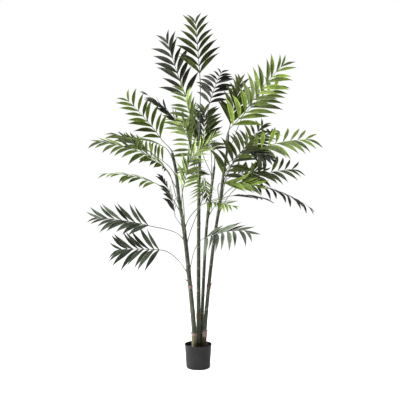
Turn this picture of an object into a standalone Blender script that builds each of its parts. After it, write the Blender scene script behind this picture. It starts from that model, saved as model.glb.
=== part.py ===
"""Artificial areca palm in a filled black pot, 2.10 m tall.

Four tapering canes rise from sockets in the pot's filling. Each frond is one thin blade: a wiry stem
that leaves its cane, runs on as the rib, and carries leaflets in pairs. Metres, +Z up, the origin at
the centre of the pot's flat underside, the front towards -Y.
"""

import math
import random

import bmesh
import bpy
from mathutils import Vector
from mathutils.bvhtree import BVHTree

# Pot and filling
POT_HEIGHT = 0.140
POT_RIM_RADIUS = 0.080
POT_FOOT_RADIUS = 0.070
POT_WALL = 0.003
POT_FLOOR = 0.004
LIP_HEIGHT = 0.006
LIP_DEPTH = 0.0012
FOOT_ROUND = 0.008
ROUND_STEPS = 3
FILL_TOP = 0.122
FILL_CROWN = 0.004
CROWN_SHARE = (0.6, 0.3)
TURNED_STEPS = 40

# Canes
GAP = 0.0003
TOP_GAP = 0.0008
CANE_FOOT = 0.040
CANE_SIDES = 10
SOCKET_GAP = GAP / math.cos(math.pi / CANE_SIDES)
SOCKET_TOP = 0.30
WELD = 0.00001
STEPS_PER_SPAN = 2
TAPER_POWER = 1.3

# Fronds
STEM_WIDTH = 0.0046
RIB_TIP_WIDTH = 0.0024
STEM_THICKNESS = 0.0034
LEAF_THICKNESS = 0.0022
STEM_STEPS = 5
NEARBY = 0.01
STEM_SPRING = 0.9
STEM_OUTWARD = 0.35
RIB_ARCH = math.radians(12)
PAIRS = 8
FIRST_PAIR = 0.04
LEAF_FOOT = 0.007
LEAF_SLIMNESS = 0.172
WIDEST_AT = 0.46
LENGTH_LOSS = 0.42
LEAN_LOSS = math.radians(22)
LEAF_DROOP = 0.06
DOWN = Vector((0, 0, -1))
LOOSE_ANGLE = math.radians(7)
LOOSE_LENGTH = 0.12
LEAF_CLEARANCE = 0.0035
CLEAR_FROM = 0.15
RIM_CLEARANCE = 0.0024
SHEET_FACES = 3
TURNS_TRIED = (0, 9, -9, 18, -18, 27, -27)

# name: points on the centre line, radius at the foot, radius at the top
CANES = {
    "left": (
        [
            (-0.022, -0.020, CANE_FOOT),
            (-0.024, -0.021, 0.22),
            (-0.049, -0.034, 0.50),
            (-0.080, -0.045, 0.80),
            (-0.112, -0.060, 1.00),
            (-0.128, -0.070, 1.15),
            (-0.150, -0.080, 1.26),
        ],
        0.0150,
        0.0080,
    ),
    "centre": (
        [
            (0.002, 0.004, CANE_FOOT),
            (0.002, 0.005, 0.22),
            (0.002, 0.009, 0.55),
            (0.004, 0.015, 0.99),
            (0.008, 0.020, 1.20),
            (0.010, 0.025, 1.46),
        ],
        0.0130,
        0.0075,
    ),
    "middle": (
        [
            (0.020, 0.024, CANE_FOOT),
            (0.021, 0.025, 0.22),
            (0.032, 0.038, 0.51),
            (0.050, 0.058, 0.82),
            (0.075, 0.070, 1.02),
            (0.098, 0.085, 1.19),
        ],
        0.0112,
        0.0070,
    ),
    "right": (
        [
            (0.031, -0.003, CANE_FOOT),
            (0.039, -0.004, 0.22),
            (0.064, -0.010, 0.50),
            (0.096, -0.018, 0.77),
            (0.126, -0.025, 0.96),
            (0.147, -0.020, 1.13),
            (0.170, -0.010, 1.28),
            (0.178, 0.000, 1.37),
        ],
        0.0122,
        0.0062,
    ),
}
TOP = None

# name, cane, height of the stem's foot, where the leaflets begin, tip of the rib, the way the
# upper face looks, fold and lean of the left and of the right row of leaflets in degrees, their
# twist in degrees, how far they hang as a share of their length, longest leaflet, tint
FRONDS = [
    ("crown_top", "centre", TOP, (0.01, 0.01, 1.72), (-0.015, 0.01, 2.03), (0, -1, 0.15),
     (8, 54), (8, 54), 16, 0.0, 0.155, "olive"),
    ("top_left", "centre", 1.38, (-0.07, 0.1, 1.595), (-0.185, 0.14, 1.945), (-0.2, -0.96, 0.1),
     (8, 47), (10, 44), 16, 0.0, 0.165, "dark"),
    ("top_right_back", "middle", TOP, (0.065, 0.12, 1.565), (0.145, 0.3, 1.8), (0, -0.7, 0.7),
     (5, 54), (5, 60), 66, 0.12, 0.145, "dark"),
    ("upper_right", "right", 1.28, (0.29, 0.0, 1.53), (0.485, -0.04, 1.765), (-0.25, -0.9, 0.35),
     (14, 52), (8, 60), 16, 0.0, 0.165, "bright"),
    ("upper_right_lower", "right", 1.22, (0.19, -0.03, 1.41), (0.46, 0.1, 1.665), (-0.1, -0.93, 0.35),
     (8, 56), (0, 48), 16, 0.03, 0.195, "bright"),
    ("right_upright", "right", TOP, (0.19, 0.07, 1.43), (0.255, 0.12, 1.69), (0, -0.95, 0.25),
     (15, 42), (10, 34), 24, 0.0, 0.155, "olive"),
    ("right_arch", "right", 1.19, (0.315, -0.02, 1.27), (0.62, -0.08, 1.335), (0, -0.4, 0.92),
     (42, 74), (-8, 40), 16, 0.26, 0.175, "bright"),
    ("right_back_rise", "right", 1.15, (0.3, 0.1, 1.28), (0.465, 0.28, 1.425), (0, -0.5, 0.85),
     (10, 50), (0, 54), 30, 0.1, 0.12, "olive"),
    ("right_low_arch", "right", 1.0, (0.26, -0.06, 1.095), (0.535, -0.12, 1.16), (0, -0.4, 0.92),
     (42, 80), (-10, 42), 16, 0.24, 0.15, "olive"),
    ("right_front", "right", 0.95, (0.135, -0.12, 1.085), (0.325, -0.2, 1.065), (0, -0.85, 0.5),
     (0, 32), (0, 26), 16, 0.04, 0.145, "bright"),
    ("right_droop_back", "right", 0.92, (0.33, 0.12, 1.085), (0.685, 0.18, 0.945), (0.2, -0.05, 0.97),
     (0, 36), (-30, 76), 16, 0.1, 0.11, "dark"),
    ("low_right_back", "middle", 0.9, (0.19, 0.12, 1.01), (0.43, 0.26, 0.99), (0, 0.05, 1),
     (6, 34), (-10, 40), 16, 0.03, 0.12, "dark"),
    ("low_front_right", "left", 0.83, (0.045, -0.11, 0.97), (0.185, -0.27, 0.955), (0, -0.8, 0.6),
     (0, 38), (0, 40), 24, 0.04, 0.1, "bright"),
    ("hanging_right", "left", 0.59, (0.035, -0.12, 0.77), (0.255, -0.22, 0.82), (0, -0.3, 0.95),
     (50, 28), (-8, 78), 16, 0.24, 0.165, "grey"),
    ("low_left", "left", 0.76, (-0.275, -0.05, 0.835), (-0.555, -0.12, 0.885), (0, -0.9, 0.4),
     (30, 46), (0, 48), 16, 0.03, 0.165, "grey"),
    ("lowest_left", "left", 0.57, (-0.215, -0.04, 0.695), (-0.435, -0.12, 0.705), (0, -0.92, 0.38),
     (0, 46), (10, 54), 20, 0.05, 0.165, "grey"),
    ("left_dark_rise", "left", 0.82, (-0.14, 0.03, 0.905), (-0.21, 0.12, 1.11), (0.9, -0.4, 0.15),
     (0, 66), (0, 40), 45, 0.1, 0.115, "dark"),
    ("left_level", "left", 0.93, (-0.24, -0.02, 1.08), (-0.535, 0.02, 1.145), (0, -0.12, 1),
     (-10, 76), (14, 30), 16, 0.07, 0.13, "bright"),
    ("left_front_level", "left", 1.06, (-0.25, -0.1, 1.225), (-0.54, -0.18, 1.31), (0, -0.6, 0.8),
     (0, 50), (10, 34), 16, 0.1, 0.145, "bright"),
    ("left_back_level", "left", 1.13, (-0.275, 0.03, 1.265), (-0.485, 0.1, 1.38), (0.1, -0.6, 0.8),
     (0, 34), (10, 28), 16, 0.05, 0.145, "olive"),
    ("left_front", "left", 1.22, (-0.19, -0.14, 1.285), (-0.325, -0.24, 1.32), (0, -0.15, 1),
     (-45, 84), (10, 46), 16, 0.05, 0.135, "bright"),
    ("left_inner", "left", 0.97, (-0.175, -0.11, 1.155), (-0.285, -0.26, 1.215), (0, -0.75, 0.65),
     (0, 38), (8, 36), 30, 0.04, 0.11, "bright"),
    ("upper_left", "left", TOP, (-0.21, -0.06, 1.335), (-0.4, -0.08, 1.555), (0.3, -0.9, 0.3),
     (8, 52), (14, 60), 16, 0.0, 0.14, "bright"),
    ("upper_left_edge", "centre", 1.2, (-0.11, 0.13, 1.44), (-0.315, 0.2, 1.64), (0.3, -0.5, 0.8),
     (-10, 32), (10, 32), 36, 0.0, 0.12, "dark"),
    ("centre_pale", "left", 0.86, (-0.07, -0.15, 1.19), (0.075, -0.3, 1.32), (0, -1, 0.1),
     (0, 34), (0, 34), 34, 0.0, 0.12, "light"),
    ("centre_front", "centre", 1.08, (-0.035, -0.1, 1.235), (-0.08, -0.14, 1.435), (0, -0.95, 0.3),
     (0, 76), (0, 30), 16, 0.03, 0.115, "light"),
    ("centre_left", "centre", 1.28, (-0.03, 0.0, 1.4), (-0.08, -0.06, 1.615), (0.1, -0.97, 0.2),
     (0, 68), (5, 26), 16, 0.0, 0.13, "light"),
    ("centre_right_back", "middle", 1.13, (0.025, 0.09, 1.3), (0.04, 0.14, 1.52), (0.1, -0.95, 0.25),
     (5, 50), (5, 46), 10, 0.0, 0.165, "olive"),
    ("centre_back", "centre", 1.33, (-0.005, 0.07, 1.46), (-0.025, 0.19, 1.585), (0, -0.6, 0.7),
     (0, 78), (0, 78), 30, 0.3, 0.055, "dark"),
    ("centre_low", "middle", 0.9, (0.04, -0.07, 1.105), (0.05, -0.18, 1.005), (0, -1, 0),
     (0, 40), (0, 40), 24, 0.02, 0.09, "bright"),
    ("centre_right", "right", 1.03, (0.145, -0.06, 1.115), (0.28, -0.12, 1.305), (-0.2, -0.9, 0.35),
     (8, 72), (5, 54), 16, 0.03, 0.16, "olive"),
    ("right_dark", "right", 1.08, (0.255, -0.06, 1.26), (0.39, -0.2, 1.225), (0, -0.7, 0.7),
     (0, 32), (0, 32), 40, 0.05, 0.14, "dark"),
    ("centre_pale_low", "left", 0.8, (-0.085, -0.2, 1.045), (-0.045, -0.22, 1.22), (0, -1, 0.1),
     (0, 36), (0, 66), 24, 0.0, 0.105, "light"),
    ("centre_low_left", "left", 0.74, (0.025, -0.14, 1.005), (0.005, -0.26, 1.08), (0, -0.9, 0.4),
     (0, 70), (0, 46), 24, 0.04, 0.1, "bright"),
    ("right_inner", "right", 1.1, (0.225, 0.05, 1.225), (0.385, 0.1, 1.425), (-0.2, -0.9, 0.4),
     (8, 62), (5, 40), 16, 0.03, 0.135, "olive"),
    ("right_level", "right", 0.98, (0.195, 0.03, 1.125), (0.385, 0.08, 1.16), (0, -0.75, 0.65),
     (8, 50), (-5, 44), 16, 0.06, 0.14, "olive"),
    ("back_level", "middle", 1.05, (0.08, 0.22, 1.29), (0.06, 0.43, 1.37), (0, 0.1, 1),
     (8, 56), (8, 56), 16, 0.12, 0.15, "olive"),
    ("back_left", "centre", 1.12, (-0.07, 0.22, 1.39), (-0.145, 0.41, 1.515), (-0.1, 0.1, 1),
     (8, 56), (8, 56), 16, 0.12, 0.15, "bright"),
    ("back_low", "centre", 0.85, (-0.015, 0.2, 1.135), (-0.065, 0.41, 1.185), (0, 0.1, 1),
     (8, 56), (8, 56), 16, 0.14, 0.15, "olive"),
]

# name: base colour, roughness
FINISHES = {
    "pot": ((0.035, 0.035, 0.037), 0.55),
    "filling": ((0.030, 0.026, 0.022), 0.9),
    "cane": ((0.060, 0.075, 0.040), 0.5),
    "leaf_bright": ((0.115, 0.165, 0.025), 0.4),
    "leaf_olive": ((0.062, 0.085, 0.014), 0.4),
    "leaf_light": ((0.185, 0.250, 0.075), 0.45),
    "leaf_dark": ((0.010, 0.014, 0.007), 0.35),
    "leaf_grey": ((0.055, 0.072, 0.048), 0.4),
}


def clear_scene():
    for thing in list(bpy.data.objects):
        bpy.data.objects.remove(thing)


def new_collection(name):
    collection = bpy.data.collections.new(name)
    bpy.context.scene.collection.children.link(collection)
    return collection


def make_finishes():
    made = {}
    for name, (colour, roughness) in FINISHES.items():
        material = bpy.data.materials.new(name)
        material.use_nodes = True
        shader = material.node_tree.nodes["Principled BSDF"]
        shader.inputs["Base Color"].default_value = (*colour, 1.0)
        shader.inputs["Roughness"].default_value = roughness
        shader.inputs["Metallic"].default_value = 0.0
        made[name] = material
    return made


def new_object(name, data, collection, material=None):
    thing = bpy.data.objects.new(name, data)
    collection.objects.link(thing)
    if material:
        data.materials.append(material)
    return thing


def turned(name, profile, collection, material):
    """A solid of revolution about Z from (radius, height) points that run down its outer side."""
    mesh = bpy.data.meshes.new(name)
    points = [(radius, 0.0, height) for radius, height in profile]
    mesh.from_pydata(points, [(i, i + 1) for i in range(len(points) - 1)], [])
    thing = new_object(name, mesh, collection, material)
    screw = thing.modifiers.new("turn", "SCREW")
    screw.axis = "Z"
    screw.steps = TURNED_STEPS
    screw.render_steps = TURNED_STEPS
    screw.use_merge_vertices = True
    screw.merge_threshold = 0.0001
    screw.use_smooth_shade = True
    return thing


def outer_radius(height):
    return POT_FOOT_RADIUS + (POT_RIM_RADIUS - LIP_DEPTH - POT_FOOT_RADIUS) * height / POT_HEIGHT


def inner_radius(height):
    return outer_radius(height) - POT_WALL


def pot_profile():
    """From the middle of the inner floor up the inner wall, over the lip and down the outer side."""
    lip_foot = POT_HEIGHT - LIP_HEIGHT
    corner = [
        (
            outer_radius(FOOT_ROUND) - FOOT_ROUND * (1 - math.cos(angle)),
            FOOT_ROUND * (1 - math.sin(angle)),
        )
        for angle in (i * math.pi / 2 / ROUND_STEPS for i in range(ROUND_STEPS + 1))
    ]
    return [
        (0.0, POT_FLOOR),
        (inner_radius(POT_FLOOR), POT_FLOOR),
        (inner_radius(POT_HEIGHT), POT_HEIGHT - LIP_DEPTH),
        (POT_RIM_RADIUS - POT_WALL / 2, POT_HEIGHT),
        (POT_RIM_RADIUS, POT_HEIGHT - LIP_DEPTH),
        (POT_RIM_RADIUS, lip_foot),
        (outer_radius(lip_foot), lip_foot - LIP_DEPTH),
        *corner,
        (0.0, 0.0),
    ]


def filling_profile():
    """The filling's crowned top, then its side down to just above the pot's floor."""
    bottom = POT_FLOOR + GAP
    out, down = CROWN_SHARE
    return [
        (0.0, FILL_TOP),
        (out * inner_radius(FILL_TOP), FILL_TOP - down * FILL_CROWN),
        (inner_radius(FILL_TOP - FILL_CROWN) - GAP, FILL_TOP - FILL_CROWN),
        (inner_radius(bottom) - GAP, bottom),
        (0.0, bottom),
    ]


def smooth_path(points):
    """Catmull-Rom curve through the points, with the end spans taken straight on past the ends."""
    known = [Vector(point) for point in points]
    known = [2 * known[0] - known[1], *known, 2 * known[-1] - known[-2]]
    path = []
    for before, start, end, after in zip(known, known[1:], known[2:], known[3:]):
        for step in range(STEPS_PER_SPAN):
            t = step / STEPS_PER_SPAN
            path.append(
                0.5
                * (
                    2 * start
                    + (end - before) * t
                    + (2 * before - 5 * start + 4 * end - after) * t**2
                    + (3 * start - before - 3 * end + after) * t**3
                )
            )
    path.append(known[-2])
    return path


def cane_line(name):
    """Points and radii along a cane: the radius falls as a power of the height share."""
    points, foot_radius, top_radius = CANES[name]
    path = smooth_path(points)
    low, high = path[0].z, path[-1].z
    radii = [
        foot_radius + (top_radius - foot_radius) * ((point.z - low) / (high - low)) ** TAPER_POWER
        for point in path
    ]
    return path, radii


def on_cane(name, height):
    """The cane's centre, direction and radius where it passes this height."""
    path, radii = cane_line(name)
    for i in range(len(path) - 1):
        if path[i].z <= height <= path[i + 1].z:
            share = (height - path[i].z) / (path[i + 1].z - path[i].z)
            centre = path[i].lerp(path[i + 1], share)
            return centre, (path[i + 1] - path[i]).normalized(), radii[i] * (1 - share) + radii[i + 1] * share
    raise ValueError(f"{name} does not reach {height}")


def tube(name, path, radii, collection, material=None):
    """A round bar along the path, as a bevelled curve with filled ends."""
    curve = bpy.data.curves.new(name, "CURVE")
    curve.dimensions = "3D"
    curve.bevel_depth = 1.0
    curve.bevel_resolution = CANE_SIDES // 2 - 2
    curve.use_fill_caps = True
    spline = curve.splines.new("POLY")
    spline.points.add(len(path) - 1)
    for point, place, radius in zip(spline.points, path, radii):
        point.co = (*place, 1.0)
        point.radius = radius
    spline.use_smooth = True
    return new_object(name, curve, collection, material)


def meshed(thing, collection):
    """The curve object made a closed mesh, its cap seams welded; the curve is removed."""
    graph = bpy.context.evaluated_depsgraph_get()
    mesh = bpy.data.meshes.new_from_object(thing.evaluated_get(graph))
    shell = bmesh.new()
    shell.from_mesh(mesh)
    bmesh.ops.remove_doubles(shell, verts=shell.verts, dist=WELD)
    bmesh.ops.recalc_face_normals(shell, faces=shell.faces)
    shell.to_mesh(mesh)
    shell.free()
    name, place = thing.name, thing.matrix_world.copy()
    bpy.data.objects.remove(thing)
    solid = new_object(name, mesh, collection)
    solid.matrix_world = place
    return solid


def socket_cutter(name, collection):
    """The foot of a cane, wider by the gap all round, which cuts its socket in the filling."""
    path, radii = cane_line(name)
    inside = [i for i, point in enumerate(path) if point.z < SOCKET_TOP]
    places = [path[i] for i in inside]
    places[0] = places[0] - Vector((0, 0, GAP))
    wide = [radii[i] + SOCKET_GAP for i in inside]
    cutter = meshed(tube(f"socket_{name}", places, wide, collection), collection)
    cutter.display_type = "WIRE"
    cutter.hide_render = True
    return cutter


def make_pot(parts, cutters, finishes):
    turned("pot", pot_profile(), parts, finishes["pot"])
    filling = turned("filling", filling_profile(), parts, finishes["filling"])
    for name in CANES:
        cut = filling.modifiers.new(f"socket_{name}", "BOOLEAN")
        cut.operation = "DIFFERENCE"
        cut.solver = "EXACT"
        cut.object = socket_cutter(name, cutters)


def make_canes(parts, finishes):
    for name in CANES:
        path, radii = cane_line(name)
        tube(f"cane_{name}", path, radii, parts, finishes["cane"])


def hermite(start, start_slope, end, end_slope, t):
    """Cubic from start to end that leaves and arrives along the two slopes."""
    rise = t * t * (3 - 2 * t)
    return (
        start.lerp(end, rise)
        + start_slope * (t * (1 - t) ** 2)
        - end_slope * (t * t * (1 - t))
    )


def square_to(direction, normal):
    return (normal - direction * normal.dot(direction)).normalized()


class Spine:
    """The line of a frond's stem and rib, with the way its upper face looks along it."""

    def __init__(self, cane, foot_height, shoulder, tip, face):
        self.shoulder, self.tip = Vector(shoulder), Vector(tip)
        self.face = Vector(face).normalized()
        chord = self.tip - self.shoulder
        self.rib_length = chord.length
        ahead = chord.normalized()
        up = square_to(ahead, self.face)
        self.leave_shoulder = (ahead * math.cos(RIB_ARCH) + up * math.sin(RIB_ARCH)) * chord.length
        self.reach_tip = (ahead * math.cos(RIB_ARCH) - up * math.sin(RIB_ARCH)) * chord.length
        if foot_height is TOP:
            path, _ = cane_line(cane)
            along = (path[-1] - path[-2]).normalized()
            self.foot = path[-1] + along * TOP_GAP
            outward = square_to(along, self.face)
            spring = along
        else:
            centre, along, radius = on_cane(cane, foot_height)
            outward = square_to(along, self.shoulder - centre)
            self.foot = centre + outward * (radius + GAP + STEM_THICKNESS / 2)
            spring = (along + outward * STEM_OUTWARD).normalized()
        self.radial = outward if outward.dot(self.face) >= 0 else -outward
        self.stem_length = (self.shoulder - self.foot).length
        self.leave_foot = spring * self.stem_length * STEM_SPRING

    def stem(self, t):
        arrive = self.leave_shoulder.normalized() * self.stem_length
        return hermite(self.foot, self.leave_foot, self.shoulder, arrive, t)

    def rib(self, t):
        return hermite(self.shoulder, self.leave_shoulder, self.tip, self.reach_tip, t)

    def section(self, line, t):
        """Point, direction, sideways and upper face of the stem or rib at t."""
        low, high = max(t - NEARBY, 0.0), min(t + NEARBY, 1.0)
        ahead = (line(high) - line(low)).normalized()
        turn = t * t * (3 - 2 * t) if line == self.stem else 1.0
        upper = square_to(ahead, self.radial.lerp(self.face, turn))
        return line(t), ahead, ahead.cross(upper), upper


def pair_places(spine):
    """Shares of the rib at which each pair of leaflets starts and ends, the last at the very tip."""
    foot = LEAF_FOOT / spine.rib_length
    last = 1.0 - foot
    for pair in range(PAIRS):
        start = FIRST_PAIR + (last - FIRST_PAIR) * pair / (PAIRS - 1)
        yield start, start + foot


def leaflet(section, side, share, row, turn, habit, chance):
    """One leaflet: its foot, the ends of its widest line, its tip and the way its face looks.

    Its lean from the rib and its length both fall with the cube of the way along. It folds up from
    the blade's plane by the fold of its row and the turn. It is twisted about its own line, so that
    neighbours lie like shutters. Its tip sinks along the way its back looks, and hangs down besides.
    """
    place, ahead, sideways, upper = section
    fold, lean = (math.radians(angle) for angle in row)
    twist, hang, longest = habit
    twist = math.radians(twist)
    lean = lean - LEAN_LOSS * share**3 + chance.uniform(-LOOSE_ANGLE, LOOSE_ANGLE)
    fold = fold + math.radians(turn) + chance.uniform(-LOOSE_ANGLE, LOOSE_ANGLE)
    size = longest * (1 - LENGTH_LOSS * share**3) * (1 + chance.uniform(-LOOSE_LENGTH, LOOSE_LENGTH))
    out = sideways * side * math.cos(fold) + upper * math.sin(fold)
    back = upper * math.cos(fold) - sideways * side * math.sin(fold)
    sink = (DOWN * hang - back * LEAF_DROOP) * size
    line = ahead * math.cos(lean) + out * math.sin(lean)
    flat = ahead * math.sin(lean) - out * math.cos(lean)
    half = (flat * math.cos(twist) + back * math.sin(twist)) * size * LEAF_SLIMNESS / 2
    facing = back * math.cos(twist) - flat * math.sin(twist)
    middle = place + line * size * WIDEST_AT + sink * WIDEST_AT**2
    tip = place + line * size + sink
    return place, middle - half, middle + half, tip, facing


def leaflet_sheets(corners):
    """A leaflet's outer part: the sheet itself, and what it must stay clear of all else by.

    That is two copies of the sheet, one on each side, and the rim between them.
    """
    place, low, high, tip, facing = corners
    outline = [place.lerp(low, CLEAR_FROM), low, tip, high, place.lerp(high, CLEAR_FROM)]
    sheets = []
    for side in (0, -1, 1):
        lift = facing * LEAF_CLEARANCE * side
        inner_low, outer_low, end, outer_high, inner_high = (corner + lift for corner in outline)
        sheets += [
            [inner_low, inner_high, outer_high],
            [inner_low, outer_high, outer_low],
            [outer_low, outer_high, end],
        ]
    rim = facing * RIM_CLEARANCE
    for here, ahead in zip(outline, outline[1:] + outline[:1]):
        sheets += [[here - rim, ahead - rim, ahead + rim], [here - rim, ahead + rim, here + rim]]
    return sheets


def tree_of(triangles):
    corners = [corner for triangle in triangles for corner in triangle]
    faces = [(i, i + 1, i + 2) for i in range(0, len(corners), 3)]
    return BVHTree.FromPolygons(corners, faces)


def cane_walls():
    """The canes' sides as triangles, which leaflets stay clear of."""
    walls = []
    for name in CANES:
        path, radii = cane_line(name)
        rings = []
        for place, radius in zip(path, radii):
            angles = [2 * math.pi * i / CANE_SIDES for i in range(CANE_SIDES)]
            rings.append([place + Vector((math.cos(a), math.sin(a), 0)) * radius for a in angles])
        for below, above in zip(rings, rings[1:]):
            for i in range(CANE_SIDES):
                j = (i + 1) % CANE_SIDES
                walls += [[below[i], below[j], above[j]], [below[i], above[j], above[i]]]
    return walls


def ribbon(spine):
    """The stations of stem and rib: left and right points, thickness and the pair that starts there."""
    stations = []
    for step in range(STEM_STEPS):
        t = step / STEM_STEPS
        place, _, sideways, _ = spine.section(spine.stem, t)
        stations.append((place, sideways, STEM_WIDTH, STEM_THICKNESS, None))
    for pair, shares in enumerate(pair_places(spine)):
        for share, starts in zip(shares, (pair, None)):
            place, _, sideways, _ = spine.section(spine.rib, share)
            width = STEM_WIDTH + (RIB_TIP_WIDTH - STEM_WIDTH) * share
            thickness = STEM_THICKNESS + (LEAF_THICKNESS - STEM_THICKNESS) * share
            stations.append((place, sideways, width, thickness, starts))
    return stations


def ribbon_walls(stations):
    """The edges and middle of the ribbon as triangles, for the leaflets of other fronds."""
    walls = []
    for (a, side_a, width_a, *_), (b, side_b, width_b, *_) in zip(stations, stations[1:]):
        left_a, right_a = a - side_a * width_a / 2, a + side_a * width_a / 2
        left_b, right_b = b - side_b * width_b / 2, b + side_b * width_b / 2
        walls += [[left_a, right_a, right_b], [left_a, right_b, left_b]]
    return walls


def chosen_leaflets(spines, ribbons):
    """For every frond the leaflets that stay clear of canes, ribs and earlier leaflets.

    One that would touch is turned up or down about the rib in small steps, and skipped if none of
    the turns clears it.
    """
    walls = cane_walls()
    for stations in ribbons.values():
        walls += ribbon_walls(stations)
    kept = {}
    for number, (name, *_, left_row, right_row, twist, hang, longest, _) in enumerate(FRONDS):
        spine = spines[name]
        kept[name] = {}
        for pair, (start, end) in enumerate(pair_places(spine)):
            share = (start + end) / 2
            section = spine.section(spine.rib, share)
            for side, row in ((-1, left_row), (1, right_row)):
                tree = tree_of(walls)
                for turn in TURNS_TRIED:
                    chance = random.Random(1000 * number + 10 * pair + side)
                    habit = (twist, hang, longest)
                    corners = leaflet(section, side, share, row, turn, habit, chance)
                    sheets = leaflet_sheets(corners)
                    if not tree_of(sheets).overlap(tree):
                        kept[name][pair, side] = corners
                        walls += sheets[:SHEET_FACES]
                        break
    return kept


def frond_surface(name, stations, leaflets):
    """The open surface of one frond and how thick it is at each point, as a share of the stem's."""
    surface = bmesh.new()
    shares = []

    def corner(place, thickness):
        shares.append(thickness / STEM_THICKNESS)
        return surface.verts.new(place)

    edges = []
    for place, sideways, width, thickness, _ in stations:
        half = sideways * width / 2
        edges.append((corner(place - half, thickness), corner(place + half, thickness)))
    for here, ahead in zip(edges, edges[1:]):
        surface.faces.new((here[0], here[1], ahead[1], ahead[0]))
    for i, (_, _, _, _, pair) in enumerate(stations):
        for side, column in ((-1, 0), (1, 1)):
            if (pair, side) not in leaflets:
                continue
            _, low, high, tip, _ = leaflets[pair, side]
            low, high, tip = (corner(place, LEAF_THICKNESS) for place in (low, high, tip))
            surface.faces.new((edges[i][column], low, high, edges[i + 1][column]))
            surface.faces.new((low, tip, high))
    bmesh.ops.recalc_face_normals(surface, faces=surface.faces)
    mesh = bpy.data.meshes.new(name)
    surface.to_mesh(mesh)
    surface.free()
    return mesh, shares


def make_fronds(parts, finishes):
    spines = {frond[0]: Spine(*frond[1:6]) for frond in FRONDS}
    ribbons = {name: ribbon(spine) for name, spine in spines.items()}
    leaflets = chosen_leaflets(spines, ribbons)
    for frond in FRONDS:
        name = frond[0]
        mesh, shares = frond_surface(name, ribbons[name], leaflets[name])
        thing = new_object(f"frond_{name}", mesh, parts, finishes[f"leaf_{frond[-1]}"])
        group = thing.vertex_groups.new(name="thickness")
        for index, share in enumerate(shares):
            group.add([index], share, "REPLACE")
        wall = thing.modifiers.new("thickness", "SOLIDIFY")
        wall.thickness = STEM_THICKNESS
        wall.offset = 0.0
        wall.vertex_group = group.name


def make_palm():
    clear_scene()
    parts = new_collection("areca_palm")
    cutters = new_collection("cutters")
    finishes = make_finishes()
    make_pot(parts, cutters, finishes)
    make_canes(parts, finishes)
    make_fronds(parts, finishes)


make_palm()
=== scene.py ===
"""Artificial areca palm in a filled black pot, 2.10 m tall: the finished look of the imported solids.

The sections follow the palm as it is put together: pot, filling, canes, husks and spurs, then the
places of the fronds, their stems and ribs, sockets and leaflets, and last the studio. Metres, +Z
up, the front towards -Y.
"""

import math
import random

import bpy
import numpy as np
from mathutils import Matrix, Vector
from mathutils.bvhtree import BVHTree


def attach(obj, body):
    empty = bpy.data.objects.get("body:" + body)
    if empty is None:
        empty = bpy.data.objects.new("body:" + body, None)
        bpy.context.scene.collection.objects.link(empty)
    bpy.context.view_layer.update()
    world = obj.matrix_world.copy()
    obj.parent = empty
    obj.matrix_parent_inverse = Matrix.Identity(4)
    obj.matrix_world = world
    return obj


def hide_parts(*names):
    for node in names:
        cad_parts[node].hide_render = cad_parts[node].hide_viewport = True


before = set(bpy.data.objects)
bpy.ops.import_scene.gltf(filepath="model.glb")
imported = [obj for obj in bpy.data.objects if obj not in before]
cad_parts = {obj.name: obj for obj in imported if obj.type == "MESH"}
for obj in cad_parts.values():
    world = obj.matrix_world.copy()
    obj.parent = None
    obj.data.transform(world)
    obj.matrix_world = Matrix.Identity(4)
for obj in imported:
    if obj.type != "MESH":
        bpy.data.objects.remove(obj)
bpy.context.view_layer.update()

# ---------------------------------------------------------------------------------------- pot
# A plain nursery pot of black polyethylene, moulded in one shell 3 mm thick: a slightly tapering
# wall, a thin band rolled outwards at the rim and a rounded foot. The palm stands on its flat
# underside. Handling has left it dusty, with pale scuffs.
POT_HEIGHT = 0.140
POT_RIM_RADIUS = 0.080
POT_FOOT_RADIUS = 0.070
POT_WALL = 0.003
POT_FLOOR = 0.004
# radius, height: the underside, hollowed by a millimetre inside the flat ring that it stands on
POT_UNDERSIDE = [(0.012, 0.0010), (0.046, 0.0010), (0.050, 0.0002), (0.0515, 0.0)]
FLOOR_MIDDLE = 0.030
FOOT_ROUND = 0.008
INNER_ROUND = 0.004
WALL_START = 0.012
INNER_WALL = (0.130, 0.010)
LIP_HEIGHT = 0.006
LIP_DEPTH = 0.0012
LIP_EASE = 0.0004
POT_SIDES = 96
POT_BLACK = (0.008, 0.008, 0.0085, 1.0)
POT_DUST = (0.055, 0.054, 0.053, 1.0)
DUST_AMOUNT = 0.34
SCUFF_STRETCH = (60.0, 60.0, 14.0)


def node(tree, kind, inputs=(), **settings):
    """A shader node and its settings, each input given as a value or the socket that feeds it."""
    made = tree.nodes.new(kind)
    for name, value in settings.items():
        setattr(made, name, value)
    for key, value in dict(inputs).items():
        if isinstance(value, bpy.types.NodeSocket):
            tree.links.new(value, made.inputs[key])
        else:
            made.inputs[key].default_value = value
    return made


def blend_colours(tree, share, first, second):
    """The first colour where share is 0, going over to the second where it is 1."""
    inputs = {0: share, 6: first, 7: second}
    return node(tree, "ShaderNodeMix", inputs, data_type="RGBA").outputs[2]


def remap(tree, value, low, high, to_low=0.0, to_high=1.0):
    """The value carried evenly from low..high to to_low..to_high, and held at both ends."""
    inputs = {0: value, 1: low, 2: high, 3: to_low, 4: to_high}
    return node(tree, "ShaderNodeMapRange", inputs).outputs[0]


def maths(tree, operation, first, second=0.0):
    """One sum on two numbers, or on one of them for the sine and the like."""
    return node(tree, "ShaderNodeMath", {0: first, 1: second}, operation=operation).outputs[0]


def noise(tree, where, scale, detail=3.0, roughness=0.55):
    """Cloudy noise from 0 to 1, about so many patches a metre."""
    inputs = {"Vector": where, "Scale": scale, "Detail": detail, "Roughness": roughness}
    return node(tree, "ShaderNodeTexNoise", inputs).outputs["Fac"]


def stretched(tree, where, scale):
    """The coordinate scaled apart along its three axes."""
    return node(tree, "ShaderNodeMapping", {"Vector": where, "Scale": scale}).outputs["Vector"]


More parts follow.
